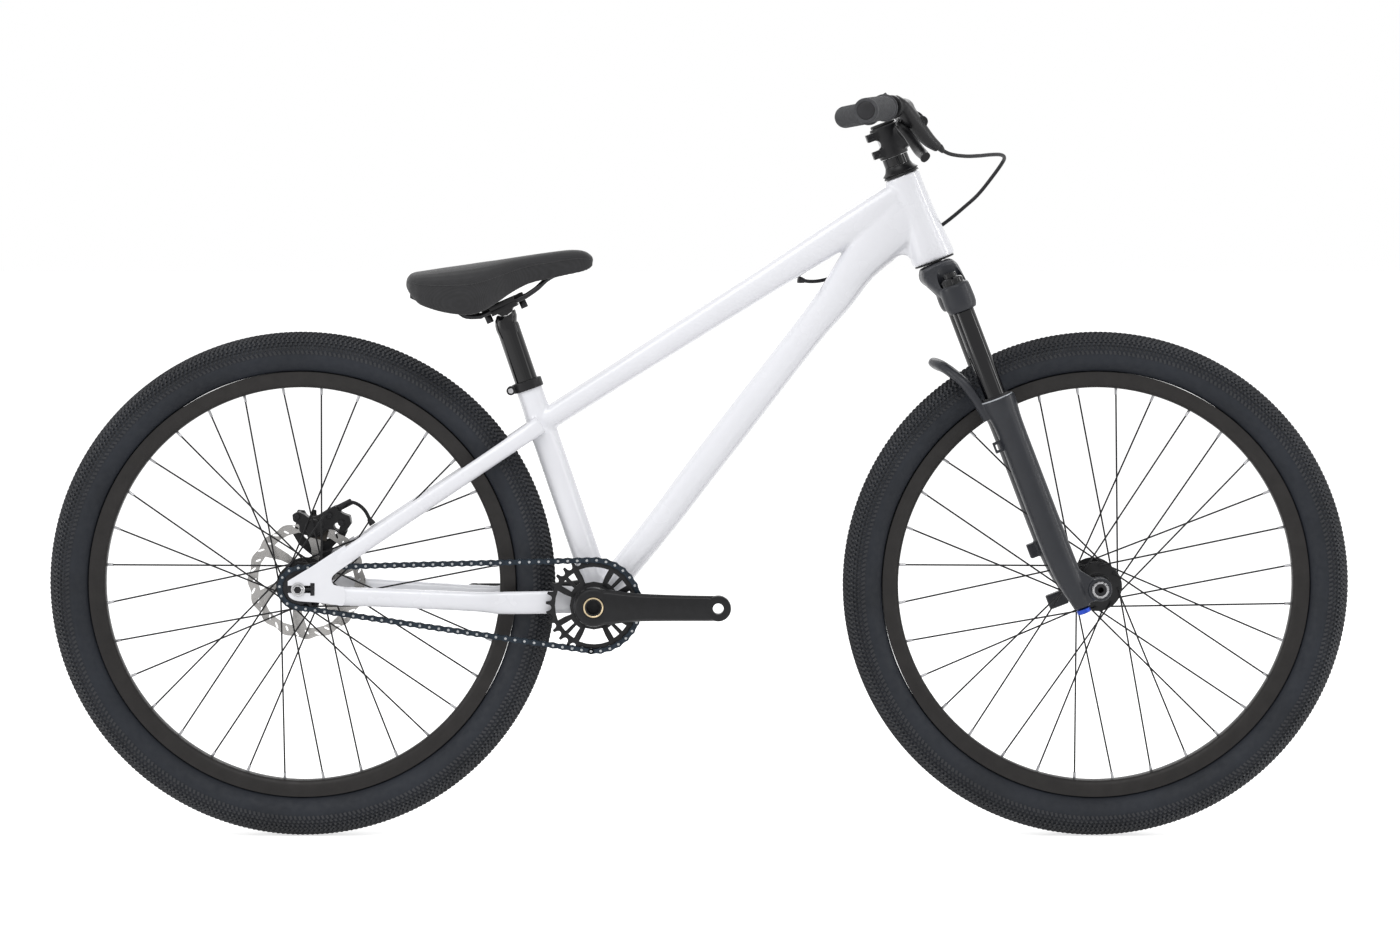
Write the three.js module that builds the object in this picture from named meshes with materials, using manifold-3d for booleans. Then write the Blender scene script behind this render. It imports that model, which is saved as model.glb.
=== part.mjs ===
// Dirt jump bicycle. Millimetres and degrees. X forward, Y to the left, Z up.
// The origin is on the ground, midway between the two axles.
import * as THREE from 'three'
import { mergeVertices } from 'three/addons/utils/BufferGeometryUtils.js'
import Module from 'manifold-3d'

// Whole bicycle
const wheelbase = 1060
const chainstayLength = 391
const bottomBracketDrop = 24
const headAngle = 69
const forkOffset = 47.5
const forkLength = 482
const headTubeLength = 121
const seatTubeAngle = 71.2
const seatTubeSetForward = 10
const seatTubeLength = 311
const clearance = 0.3
const overrun = 6
const slackShare = 1 / 3000
const leftward = new THREE.Vector3(0, 1, 0)
const forward = new THREE.Vector3(1, 0, 0)

// Wheels, seen in section from the axle outwards
const wheelSegments = 32
const roundSegments = 12
const rim = { outerRadius: 285, depth: 21.5, width: 31, innerWidth: 22, bedDepth: 9, wall: 4.5 }
const tyre = { width: 57, height: 53 }
const tyreRadius = rim.outerRadius + tyre.height
const rimInner = rim.outerRadius - rim.depth
const innerTube = { thickness: 15, sides: 5, valveRadius: 3, valveLength: 34 }
const spoke = { perSide: 16, crossings: 3, radius: 1, holeCircle: 28.5, nippleDepth: 4, sides: 3 }
const hub = { flangeRadius: 33, flangeAt: 33, flangeThickness: 3, barrelRadius: 15, spanFront: 100,
  spanRear: 135 }
const frontAxle = { radius: 7.5, capRadius: 11.5, capDepth: 3, boreRadius: 4, boreDepth: 30 }
const rearAxle = { radius: 4.7, shoulderRadius: 9, boltRadius: 6.6, boltHeight: 5, washerRadius: 9.2,
  washer: 2 }
const socket = { radius: 3, depth: 3, sides: 6 }

// Drive
const pitch = 12.7
const roller = { radius: 3.9, sides: 4 }
const chainSize = { plateHalfHeight: 4.1, plate: 1.4, innerWidth: 4.2 }
const chainLine = 49
const chainringTeeth = 30
const cogTeeth = 13
const sprocket = { thickness: 2.6, seatDepth: 4.36, seatHalf: 3.5, tipHeight: 3.5, tipHalf: 1 }
const chainring = { ringRadius: 48.4, bossRadius: 29.6, windowHalf: 34, hubRadius: 15 }
const driver = { radius: 17, inner: 39.3, outer: 55 }
const spindle = { radius: 12, wall: 2.5, collarRadius: 15 }
const crank = { length: 165, bossRadius: 25, endRadius: 17, stance: 85, endThickness: 13, bossOuter: 76,
  bossThickness: 22 }
const pedalHole = { radius: 7.2, sides: 12 }
const bottomBracket = { width: 73, radius: 23, bore: 17.4, flangeRadius: 21.5, flange: 2.6, cupDepth: 18 }

// Frame tubes: in-line height, then width across the bicycle
const frameSides = 10
const tubeWall = 2.2
const seatTube = { lowerRadius: 18.3, upperRadius: 17.45, bore: 15.75 }
const topTube = { seatHeight: 31, midHeight: 34, headHeight: 40, width: 38, joinBelowTop: 55,
  joinBelowHeadTop: 22 }
const downTube = { lowHeight: 36, midHeight: 42, bendHeight: 48, neckHeight: 69, headHeight: 84,
  width: 44, joinAboveHeadBottom: 53, bow: 21 }
const headTube = { topRadius: 23.5, bottomRadius: 29.5, topBore: 17.3, bottomBore: 22.3, waistShare: 0.75 }
const staySides = 8
const chainStay = { inner: 28, height: 34, width: 17, rise: 14, lift: 2 }
const seatStay = { inner: 22, height: 25, width: 16, joinBelowTube: 3.6, aheadOfAxle: 10, aboveAxle: 8 }
const dropout = { inner: 67.5, thickness: 7, slotHeight: 10, slotFront: 22, rearReach: 13.5 }
const tensioner = { barLength: 5.2, barHeight: 16.4, screwRadius: 2.4 }

// Steering
const headset = { flange: 3.4, lowerRadius: 27.6, upperRadius: 24, coverHeight: 11, coverTopRadius: 17.5,
  skirt: 12 }
const steerer = { radius: 14.3, wall: 2.4 }
const spacer = { radius: 17.3, height: 11.5 }
const stem = { clampRadius: 19.5, height: 43, reach: 34.5, barDrop: 12.5, earReach: 27, earHeight: 10,
  earWidth: 34 }
const stemCap = { radius: 17, height: 4 }
const bar = { halfWidth: 380, clampRadius: 15.9, gripRadius: 11.1, clampHalf: 30, jaw: 4, sides: 10 }
const grip = { length: 132, radius: 15.6, flangeRadius: 17.5, flange: 3 }
const stanchion = { at: 9.3, spread: 65, radius: 14.4, wall: 2, insert: 95, sides: 20 }
const crown = { centreHeight: 27, centreLength: 53, bottom: 72, clampRadius: 20.8, clampHeight: 34,
  pocket: 6 }
const lowers = { aboveAxle: 285, belowAxle: 15, boreDepth: 203, sealRadius: 23, legRadius: 19,
  lugRadius: 15.6, travel: 100 }
const lowersTop = forkLength - lowers.aboveAxle
const lowersBottom = forkLength + lowers.belowAxle
const postMount = { step: 74, reach: 27, rise: 6 }
const wiper = { height: 4, radius: 20.5 }
const arch = { height: 20, thickness: 14, sides: 6 }
const knob = { radius: 9.5, height: 8 }

// Brake
const rotor = { windows: 6, radius: 80, trackWidth: 14, thickness: 1.8, holeRadius: 12, hubRadius: 25,
  at: 48.8 }
const caliper = { length: 60, radial: 34, inside: 13.6, outside: 15, gap: 9, padLength: 26,
  padRadial: 22, padThickness: 3, angle: 76 }
const hose = { radius: 2.5, sides: 6 }

// Saddle and post
const post = { radius: 15.45, wall: 2.4, bottom: 150, headBottom: 388, cradleRadius: 13.5,
  headLength: 26, headWidth: 30 }
const collar = { thickness: 2.6, height: 12.5, below: 10, lugRadius: 6, lugWidth: 22, boltRadius: 2.6 }
const railClamp = { along: 4, up: 417.5, length: 36, plate: 7, boltSpread: 25, boltRadius: 2.5,
  nutRadius: 5, nut: 10 }
const rail = { radius: 3.5, spread: 22, sides: 8, pitchAngle: 23.8, tailDrop: 5, tailBendDrop: 13 }

const solids = await Module()
solids.setup()
const radians = THREE.MathUtils.degToRad

// Shared vertices, no triangles of no area, faces pointing out
function closed(geometry) {
  geometry.deleteAttribute('normal')
  geometry.deleteAttribute('uv')
  const merged = mergeVertices(geometry, clearance * slackShare)
  const kept = []
  const index = merged.index.array
  for (let i = 0; i < index.length; i += 3) {
    const [a, b, c] = [index[i], index[i + 1], index[i + 2]]
    if (a !== b && b !== c && c !== a) kept.push(a, b, c)
  }
  merged.setIndex(kept)
  if (signedVolume(merged) < 0) merged.setIndex(kept.reverse())
  return merged
}

function signedVolume(geometry) {
  const place = geometry.attributes.position
  const index = geometry.index.array
  const [a, b, c] = [new THREE.Vector3(), new THREE.Vector3(), new THREE.Vector3()]
  let sum = 0
  for (let i = 0; i < index.length; i += 3) {
    a.fromBufferAttribute(place, index[i])
    b.fromBufferAttribute(place, index[i + 1])
    c.fromBufferAttribute(place, index[i + 2])
    sum += a.dot(b.cross(c)) / 6
  }
  return sum
}

function solid(geometry) {
  const shell = closed(geometry)
  const vertProperties = new Float32Array(shell.attributes.position.array)
  const triVerts = new Uint32Array(shell.index.array)
  return new solids.Manifold(new solids.Mesh({ numProp: 3, vertProperties, triVerts }))
}

function geometryOf(body) {
  const mesh = body.getMesh()
  const geometry = new THREE.BufferGeometry()
  const places = []
  for (let i = 0; i < mesh.numVert; i++) {
    for (let k = 0; k < 3; k++) places.push(mesh.vertProperties[i * mesh.numProp + k])
  }
  geometry.setAttribute('position', new THREE.Float32BufferAttribute(places, 3))
  geometry.setIndex(Array.from(mesh.triVerts))
  return geometry
}

function joined(parts) {
  return parts.slice(1).reduce((sum, part) => sum.add(solid(part)), solid(parts[0]))
}

function cutBy(body, tools) {
  return tools.reduce((left, tool) => left.subtract(solid(tool)), body)
}

// A closed surface through rings of equal count, capped at both ends
function loft(rings) {
  const count = rings[0].length
  const places = []
  const index = []
  for (const ring of rings) for (const p of ring) places.push(p.x, p.y, p.z)
  for (let i = 0; i + 1 < rings.length; i++) {
    for (let j = 0; j < count; j++) {
      const [a, b] = [i * count + j, i * count + (j + 1) % count]
      index.push(a, b, b + count, a, b + count, a + count)
    }
  }
  const last = places.length / 3 - count
  for (let j = 1; j + 1 < count; j++) {
    index.push(0, j + 1, j)
    index.push(last, last + j, last + j + 1)
  }
  const geometry = new THREE.BufferGeometry()
  geometry.setAttribute('position', new THREE.Float32BufferAttribute(places, 3))
  geometry.setIndex(index)
  return geometry
}

// A tube of changing oval section; each station is [x, y, z, height, width]
function tube(stations, sides, across = leftward, squareShare = 0) {
  const centres = stations.map(([x, y, z]) => new THREE.Vector3(x, y, z))
  const rings = centres.map((centre, i) => {
    const before = centres[Math.max(i - 1, 0)]
    const after = centres[Math.min(i + 1, centres.length - 1)]
    const along = after.clone().sub(before).normalize()
    const wide = across.clone().addScaledVector(along, -across.dot(along)).normalize()
    const high = wide.clone().cross(along)
    return oval(centre, high, wide, stations[i][3] / 2, stations[i][4] / 2, sides, squareShare)
  })
  return loft(rings)
}

function oval(centre, high, wide, halfHigh, halfWide, sides, squareShare) {
  const ring = []
  for (let j = 0; j < sides; j++) {
    const angle = (j + 0.5) / sides * 2 * Math.PI
    const [c, s] = [Math.cos(angle), Math.sin(angle)]
    const stretch = 1 - squareShare + squareShare / Math.max(Math.abs(c), Math.abs(s))
    const point = centre.clone().addScaledVector(high, c * stretch * halfHigh)
    ring.push(point.addScaledVector(wide, s * stretch * halfWide))
  }
  return ring
}

// The stations between, along a smooth curve
function smoothed(stations, steps) {
  const route = new THREE.CatmullRomCurve3(stations.map(([x, y, z]) => new THREE.Vector3(x, y, z)))
  const sizes = new THREE.CatmullRomCurve3(stations.map(([, , , h, w]) => new THREE.Vector3(h, w, 0)))
  const list = []
  for (let i = 0; i <= steps; i++) {
    const [p, q] = [route.getPoint(i / steps), sizes.getPoint(i / steps)]
    list.push([p.x, p.y, p.z, q.x, q.y])
  }
  return list
}

function thinned(stations, wall) {
  return stations.map(([x, y, z, h, w]) => [x, y, z, h - 2 * wall, w - 2 * wall])
}

function mirrored(stations) {
  return stations.map(([x, y, z, h, w]) => [x, -y, z, h, w])
}

// Turned about Y from a closed outline of [radius, along] pairs
function turned(outline, segments = roundSegments) {
  const points = outline.concat([outline[0]]).map(([r, y]) => new THREE.Vector2(r, y))
  return new THREE.LatheGeometry(points, segments)
}

// A ring or disc about Y between two places
function disc(radius, from, to, hole = 0, segments = roundSegments) {
  return turned([[hole, from], [radius, from], [radius, to], [hole, to]], segments)
}

function upright(geometry) {
  return geometry.rotateX(Math.PI / 2)
}

// A flat plate standing in the XZ plane between two values of Y
function plate(outline, from, to, holes = []) {
  const shape = new THREE.Shape(outline.map(([x, z]) => new THREE.Vector2(x, z)))
  for (const hole of holes) shape.holes.push(new THREE.Path(hole.map(([x, z]) => new THREE.Vector2(x, z))))
  const geometry = new THREE.ExtrudeGeometry(shape, { depth: to - from, bevelEnabled: false })
  return geometry.rotateX(Math.PI / 2).translate(0, to, 0)
}

// The corner radius at which a bore of flat sides clears a round of the given radius
function clearing(radius, sides) {
  return radius / Math.cos(Math.PI / sides)
}

function block(fromX, toX, fromY, toY, fromZ, toZ) {
  const box = new THREE.BoxGeometry(toX - fromX, toY - fromY, toZ - fromZ)
  return box.translate((fromX + toX) / 2, (fromY + toY) / 2, (fromZ + toZ) / 2)
}

function rod(from, to, radius, sides, across = leftward) {
  return tube([[...from, 2 * radius, 2 * radius], [...to, 2 * radius, 2 * radius]], sides, across)
}

function circle(radius, count, x = 0, z = 0) {
  const list = []
  for (let i = 0; i < count; i++) {
    const angle = i / count * 2 * Math.PI
    list.push([x + radius * Math.cos(angle), z + radius * Math.sin(angle)])
  }
  return list
}

const paints = {
  white: [0xe6e7ec, 0.18, 0],
  slate: [0x33363d, 0.42, 0.3],
  glossBlack: [0x0c0d10, 0.12, 0.6],
  satinBlack: [0x17181a, 0.4, 0.4],
  rubber: [0x202226, 0.85, 0],
  rimBlack: [0x2a2827, 0.55, 0.3],
  steel: [0xb9bcc0, 0.28, 1],
  chainBlack: [0x1d2129, 0.35, 0.8],
  cloth: [0x232427, 0.95, 0],
  blue: [0x1b2f8f, 0.35, 0.5]
}

function add(group, name, geometry, paint) {
  const [color, roughness, metalness] = paints[paint]
  const mesh = new THREE.Mesh(closed(geometry), new THREE.MeshStandardMaterial({ color, roughness,
    metalness }))
  mesh.name = name
  group.add(mesh)
  return mesh
}

// Places worked out from the driving sizes
const rearCentre = new THREE.Vector3(-wheelbase / 2, 0, tyreRadius)
const frontCentre = new THREE.Vector3(wheelbase / 2, 0, tyreRadius)
const bracketX = rearCentre.x + Math.sqrt(chainstayLength ** 2 - bottomBracketDrop ** 2)
const bracketZ = tyreRadius - bottomBracketDrop
const lean = radians(90 - headAngle)
const headUp = new THREE.Vector3(-Math.sin(lean), 0, Math.cos(lean))
const headOut = new THREE.Vector3(Math.cos(lean), 0, Math.sin(lean))
const headBottom = frontCentre.clone().addScaledVector(headOut, -forkOffset).addScaledVector(headUp,
  forkLength)
const seatLean = radians(90 - seatTubeAngle)
const seatUp = new THREE.Vector3(-Math.sin(seatLean), 0, Math.cos(seatLean))
const seatOut = new THREE.Vector3(Math.cos(seatLean), 0, Math.sin(seatLean))
const seatFoot = new THREE.Vector3(bracketX + seatTubeSetForward, 0, bracketZ)

function onHead(height, out = 0) {
  return headBottom.clone().addScaledVector(headUp, height).addScaledVector(headOut, out)
}

function onSeat(height, out = 0) {
  return seatFoot.clone().addScaledVector(seatUp, height).addScaledVector(seatOut, out)
}

const bike = new THREE.Group()
const rearWheel = new THREE.Group()
const frontWheel = new THREE.Group()
const crankset = new THREE.Group()
const steering = new THREE.Group()
const seatGroup = new THREE.Group()
rearWheel.position.copy(rearCentre)
crankset.position.set(bracketX, 0, bracketZ)
steering.position.copy(headBottom)
steering.rotation.y = -lean
seatGroup.position.copy(seatFoot)
seatGroup.rotation.y = -seatLean
frontWheel.position.set(forkOffset, 0, -forkLength)
frontWheel.rotation.y = lean
steering.add(frontWheel)
bike.add(rearWheel, crankset, steering, seatGroup)

// Wheels

function tyreGeometry() {
  const half = tyre.width / 2
  const bead = rim.outerRadius + clearance
  const depth = tyreRadius - bead
  const outerShares = [[0, 1], [0.68, 0.85], [0.99, 0.45], [0.53, 0]]
  const innerShares = [[0.38, 0], [0.8, 0.42], [0, 0.87]]
  const outer = outerShares.map(([y, r]) => [bead + depth * r, half * y])
  const inner = innerShares.map(([y, r]) => [bead + depth * r, half * y])
  const flip = ([r, y]) => [r, -y]
  return turned([...outer, ...inner, ...inner.slice(0, -1).reverse().map(flip),
    ...outer.slice(1).reverse().map(flip)],
    wheelSegments)
}

function innerTubeGeometry() {
  const radius = rim.outerRadius + innerTube.thickness
  const ring = []
  for (let i = 0; i < innerTube.sides; i++) {
    const angle = i / innerTube.sides * 2 * Math.PI
    ring.push([radius + innerTube.thickness / 2 * Math.cos(angle),
      innerTube.thickness / 2 * Math.sin(angle)])
  }
  return turned(ring, wheelSegments / 2)
}

function valve(direction) {
  const outer = rim.outerRadius + innerTube.thickness
  const inner = rimInner - innerTube.valveLength
  return rod([inner, 0, 0], [outer, 0, 0], innerTube.valveRadius, 8).rotateY(-radians(direction))
}

function rimOutline() {
  const half = rim.width / 2
  const lip = half - rim.wall
  return [[rim.outerRadius, half], [rim.outerRadius, lip], [rim.outerRadius - rim.bedDepth,
    lip - rim.wall], [rim.outerRadius - rim.bedDepth, rim.wall - lip],
    [rim.outerRadius, -lip], [rim.outerRadius, -half], [rimInner, -rim.innerWidth / 2], [rimInner,
      rim.innerWidth / 2]]
}

// The spokes of one side cross three times, every other one leaving from inside the flange
function spokesOf(side) {
  const step = 360 / spoke.perSide
  const away = hub.flangeThickness / 2 + clearance + 2.3 * spoke.radius
  const rimRadius = rimInner + spoke.nippleDepth
  const swing = spoke.crossings * step
  const list = []
  for (let i = 0; i < spoke.perSide; i++) {
    const outer = radians(i * step + step / 4 * side)
    const inner = outer + radians(i % 2 ? swing : -swing)
    const hubY = side * (hub.flangeAt + (i % 2 ? away : -away))
    const from = [spoke.holeCircle * Math.cos(inner), hubY, spoke.holeCircle * Math.sin(inner)]
    const to = [rimRadius * Math.cos(outer), side * spoke.radius, rimRadius * Math.sin(outer)]
    list.push(rod(from, to, spoke.radius, spoke.sides))
  }
  return list
}

// Rim laced with its spokes, which thread into it
function lacedRimGeometry(direction) {
  const hole = rod([rimInner - overrun, 0, 0], [rim.outerRadius, 0, 0], innerTube.valveRadius +
    clearance, 8)
  const body = joined([turned(rimOutline(), wheelSegments), ...spokesOf(-1), ...spokesOf(1)])
  return geometryOf(cutBy(body, [hole.rotateY(-radians(direction))]))
}

function hubOutline(from, to, bore) {
  const at = hub.flangeAt
  const half = hub.flangeThickness / 2
  const barrel = hub.barrelRadius
  return [[bore, from], [barrel + hub.flangeThickness, from], [barrel + hub.flangeThickness, -at - half],
    [hub.flangeRadius, -at - half],
    [hub.flangeRadius, -at + half], [barrel, -at + half + hub.flangeThickness], [barrel,
      at - half - hub.flangeThickness],
    [hub.flangeRadius, at - half], [hub.flangeRadius, at + half], [barrel + hub.flangeThickness, at + half],
    [barrel + hub.flangeThickness, to], [bore, to]]
}

function rotorGeometry() {
  const from = rotor.at
  const track = rotor.radius - rotor.trackWidth
  const windows = []
  const count = rotor.windows
  const twistShare = 0.35
  for (let i = 0; i < count; i++) {
    const start = i / count * 2 * Math.PI
    const width = 2 * Math.PI / count
    const point = (radius, turnShare) => [radius * Math.cos(start + width * turnShare),
      radius * Math.sin(start + width * turnShare)]
    windows.push([point(rotor.hubRadius, 0.25), point(track, 0.2 + twistShare), point(track, 0.5 +
      twistShare),
      point(track, 0.8 + twistShare), point(rotor.hubRadius, 0.85), point(rotor.hubRadius, 0.5)])
  }
  return plate(circle(rotor.radius, wheelSegments), from, from + rotor.thickness,
    [circle(rotor.holeRadius, 16), ...windows])
}

function buildWheels() {
  const frontValve = 116
  const rearValve = 33.75
  for (const [group, name, valveAt] of [[frontWheel, 'front', frontValve], [rearWheel, 'rear',
    rearValve]]) {
    add(group, name + '_tyre', tyreGeometry(), 'rubber')
    add(group, name + '_inner_tube', geometryOf(joined([innerTubeGeometry(), valve(valveAt)])), 'rubber')
    add(group, name + '_rim', lacedRimGeometry(valveAt), 'rimBlack')
  }
  const halfFront = hub.spanFront / 2 - clearance
  const rotorFace = rotor.at - clearance
  const driverFace = driver.inner - clearance
  add(frontWheel, 'front_hub', turned(hubOutline(-halfFront, halfFront, frontAxle.radius + clearance)),
    'satinBlack')
  add(rearWheel, 'rear_hub', turned(hubOutline(-driverFace, rotorFace, rearAxle.radius + clearance)),
    'satinBlack')
  add(rearWheel, 'brake_rotor', rotorGeometry(), 'steel')
}

// Sprockets and chain
function sprocketOutline(teeth, radius, turnShare) {
  const step = 2 * Math.PI / teeth
  const root = radius - sprocket.seatDepth
  const tip = radius + sprocket.tipHeight
  const rootTurn = Math.asin(sprocket.seatHalf / root)
  const tipTurn = step / 2 - Math.asin(sprocket.tipHalf / tip)
  const outline = []
  for (let i = 0; i < teeth; i++) {
    const at = (i + turnShare) * step
    for (const [r, a] of [[root, -rootTurn], [root, rootTurn], [tip, tipTurn], [tip, step - tipTurn]]) {
      outline.push([r * Math.cos(at + a), r * Math.sin(at + a)])
    }
  }
  return outline
}

function pitchRadius(teeth) {
  return pitch / (2 * Math.sin(Math.PI / teeth))
}

const chainTilt = Math.asin(bottomBracketDrop / chainstayLength)

// A window between two angles, between the boss and the ring
function ringWindow(middle, half) {
  const outer = chainring.ringRadius
  const inner = chainring.bossRadius
  const points = []
  for (const share of [-1, -0.5, 0, 0.5, 1]) points.push([outer, middle + half * share])
  for (const share of [0.7, -0.7]) points.push([inner, middle + half * share])
  return points.map(([r, a]) => [r * Math.cos(radians(a)), r * Math.sin(radians(a))])
}

function chainringGeometry() {
  const half = sprocket.thickness / 2
  const outline = sprocketOutline(chainringTeeth, pitchRadius(chainringTeeth), 0.5)
  const windows = [50, 140, 230, 320].map((at) => ringWindow(at, chainring.windowHalf))
  const hole = circle(spindle.radius + clearance, 24)
  const ring = plate(outline, -chainLine - half, -chainLine + half, [hole, ...windows]).rotateY(chainTilt)
  const face = bottomBracket.width / 2 + clearance + bottomBracket.flange
  const boss = disc(chainring.hubRadius, -chainLine, -face - clearance, spindle.radius + clearance)
  return geometryOf(joined([ring, boss]))
}

function chainPoints() {
  const ringRadius = pitchRadius(chainringTeeth)
  const cogRadius = pitchRadius(cogTeeth)
  const list = []
  const ringStep = 360 / chainringTeeth
  const cogStep = 360 / cogTeeth
  for (let a = -90; a <= 90; a += ringStep) list.push([ringRadius * Math.cos(radians(a)),
    ringRadius * Math.sin(radians(a))])
  const seats = Math.floor(90 / cogStep)
  const cogSeats = []
  for (let i = seats; i >= -seats; i--) {
    const a = radians(180 - i * cogStep)
    cogSeats.push([-chainstayLength + cogRadius * Math.cos(a), cogRadius * Math.sin(a)])
  }
  const run = (from, to) => {
    const length = Math.hypot(to[0] - from[0], to[1] - from[1])
    const links = Math.round(length / pitch)
    for (let i = 1; i < links; i++) {
      const share = i / links
      list.push([from[0] + (to[0] - from[0]) * share, from[1] + (to[1] - from[1]) * share])
    }
  }
  run(list.at(-1), cogSeats[0])
  list.push(...cogSeats)
  run(cogSeats.at(-1), list[0])
  return list
}

function bends(a, b, c) {
  const cross = (b[0] - a[0]) * (c[1] - b[1]) - (b[1] - a[1]) * (c[0] - b[0])
  return Math.abs(cross) > pitch * clearance
}

function offsetLoop(points, distance) {
  return points.map(([x, z], i) => {
    const before = points[(i + points.length - 1) % points.length]
    const after = points[(i + 1) % points.length]
    const [dx, dz] = [after[0] - before[0], after[1] - before[1]]
    const length = Math.hypot(dx, dz)
    return [x + dz / length * distance, z - dx / length * distance]
  })
}

function chainGeometry() {
  const points = chainPoints()
  const turning = points.filter((p, i) => bends(points.at(i - 1), p, points[(i + 1) % points.length]))
  const outer = offsetLoop(points, chainSize.plateHalfHeight).filter((p, i) => turning.includes(points[i]))
  const inner = offsetLoop(points, -chainSize.plateHalfHeight).filter((p, i) => turning.includes(points[i]))
  const half = chainSize.innerWidth / 2
  const bands = [-half - chainSize.plate, half].map((from) => plate(outer, from, from + chainSize.plate,
    [inner]))
  const sunk = chainSize.plate / 2
  const pins = points.map(([x, z]) => disc(roller.radius, -half - sunk, half + sunk, 0,
    roller.sides).translate(x, 0, z))
  return geometryOf(joined([...bands, ...pins])).translate(0, -chainLine, 0).rotateY(chainTilt)
}

function driverOutline() {
  const bore = rearAxle.radius + clearance
  return [[bore, -driver.outer], [driver.radius, -driver.outer], [driver.radius, -driver.inner], [bore,
    -driver.inner]]
}

function rearAxleOutline() {
  const end = dropout.inner + dropout.thickness
  const seat = dropout.inner - clearance
  const right = driver.outer + clearance
  const left = rotor.at + rotor.thickness + clearance
  const [thin, thick] = [rearAxle.radius, rearAxle.shoulderRadius]
  return [[0, -end], [thin, -end], [thin, -seat], [thick, -seat], [thick, -right], [thin, -right], [thin,
    left], [thick, left],
    [thick, seat], [thin, seat], [thin, end], [0, end]]
}

function axleBoltGeometry(side) {
  const from = dropout.inner + dropout.thickness + clearance
  const head = from + rearAxle.washer
  const top = head + rearAxle.boltHeight
  const outline = [[0, from], [rearAxle.washerRadius, from], [rearAxle.washerRadius, head],
    [rearAxle.boltRadius, head],
    [rearAxle.boltRadius, top], [socket.radius, top], [socket.radius, top - socket.depth], [0,
      top - socket.depth]]
  return turned(outline.map(([r, y]) => [r, side * y]), socket.sides * 2)
}

function crankArmGeometry(side) {
  const { length, bossRadius, endRadius, stance, endThickness, bossOuter, bossThickness } = crank
  const bossY = bossOuter - bossThickness / 2
  const at = (share, height, thick) => [length * share, -(bossY + (stance - bossY) * Math.min(1,
    share * 1.15)), 0, height, thick]
  const arm = tube([at(0, 1.7 * bossRadius, bossThickness * 0.9), at(0.38, 2.18 * endRadius,
    endThickness * 1.15),
    at(0.7, 2.02 * endRadius, endThickness), at(1, 2 * endRadius, endThickness)], 12, leftward, 0.35)
  const inner = bossOuter - bossThickness
  const boss = disc(bossRadius, -bossOuter, -inner)
  const from = stance + endThickness / 2
  const end = disc(endRadius, -from, -from + endThickness).translate(length, 0, 0)
  const hole = disc(pedalHole.radius, -from - overrun, -from + endThickness + overrun, 0, pedalHole.sides)
  const bore = disc(spindle.radius + clearance, -bossOuter - overrun, -inner + overrun)
  const body = cutBy(joined([arm, boss, end]), [hole.translate(length, 0, 0), bore])
  return geometryOf(body).rotateZ(side > 0 ? Math.PI : 0)
}

function spindleOutline() {
  const end = crank.bossOuter - clearance
  const face = bottomBracket.width / 2 + 2 * clearance + bottomBracket.flange
  const collarEnd = crank.bossOuter - crank.bossThickness - clearance
  const inner = spindle.radius - spindle.wall
  return [[inner, -end], [spindle.radius, -end], [spindle.radius, face], [spindle.collarRadius, face],
    [spindle.collarRadius, collarEnd], [spindle.radius, collarEnd], [spindle.radius, end], [inner, end]]
}

function cupOutline(side) {
  const half = bottomBracket.width / 2
  const deep = half - bottomBracket.cupDepth
  const face = half + clearance
  const top = face + bottomBracket.flange
  const bore = clearing(spindle.radius + clearance, roundSegments)
  const outer = bottomBracket.bore - clearance
  return [[bore, deep], [outer, deep], [outer, face], [bottomBracket.flangeRadius, face],
    [bottomBracket.flangeRadius, top],
    [bore, top]].map(([r, y]) => [r, side * y])
}

function buildDrive() {
  const half = sprocket.thickness / 2
  const hole = circle(driver.radius / 2, roundSegments)
  const cogOutline = sprocketOutline(cogTeeth, pitchRadius(cogTeeth), cogTeeth / 2)
  const cog = plate(cogOutline, -chainLine - half, -chainLine + half, [hole]).rotateY(chainTilt)
  add(rearWheel, 'rear_cog', geometryOf(joined([cog, turned(driverOutline())])), 'satinBlack')
  add(rearWheel, 'rear_axle', turned(rearAxleOutline(), 14), 'satinBlack')
  add(rearWheel, 'axle_bolt_right', axleBoltGeometry(-1), 'satinBlack')
  add(rearWheel, 'axle_bolt_left', axleBoltGeometry(1), 'satinBlack')
  add(crankset, 'chainring', chainringGeometry(), 'satinBlack')
  add(crankset, 'chain', chainGeometry(), 'chainBlack')
  add(crankset, 'crank_arm_right', crankArmGeometry(-1), 'satinBlack')
  add(crankset, 'crank_arm_left', crankArmGeometry(1), 'satinBlack')
  add(crankset, 'spindle', turned(spindleOutline()), 'steel')
  add(crankset, 'bracket_cup_right', turned(cupOutline(-1)), 'satinBlack')
  add(crankset, 'bracket_cup_left', turned(cupOutline(1)), 'satinBlack')
}
buildWheels()
buildDrive()

// Frame
function chainStayStations() {
  const sizes = chainStay
  const outer = dropout.inner + dropout.thickness / 2
  const span = bracketX - rearCentre.x
  const shares = [[0.014, 0, 0, 1, 0.6], [0.09, 0.08, 0.07, 0.94, 0.5], [0.167, 0.21, 0.07, 0.94, 0.6],
    [0.313, 0.3, 0.04, 0.91, 0.68], [0.41, 0.42, 0.21, 0.79, 0.94], [0.667, 0.68, 0.61, 0.76, 1],
    [0.872, 0.88, 0.89, 0.735, 0.85], [0.95, 1, 1, 0.59, 0.38]]
  return shares.map(([along, out, up, high, wide]) => [bracketX - span * along, sizes.inner +
    (outer - sizes.inner) * out,
    bracketZ + sizes.lift + sizes.rise * up, sizes.height * high, sizes.width * wide])
}

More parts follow.
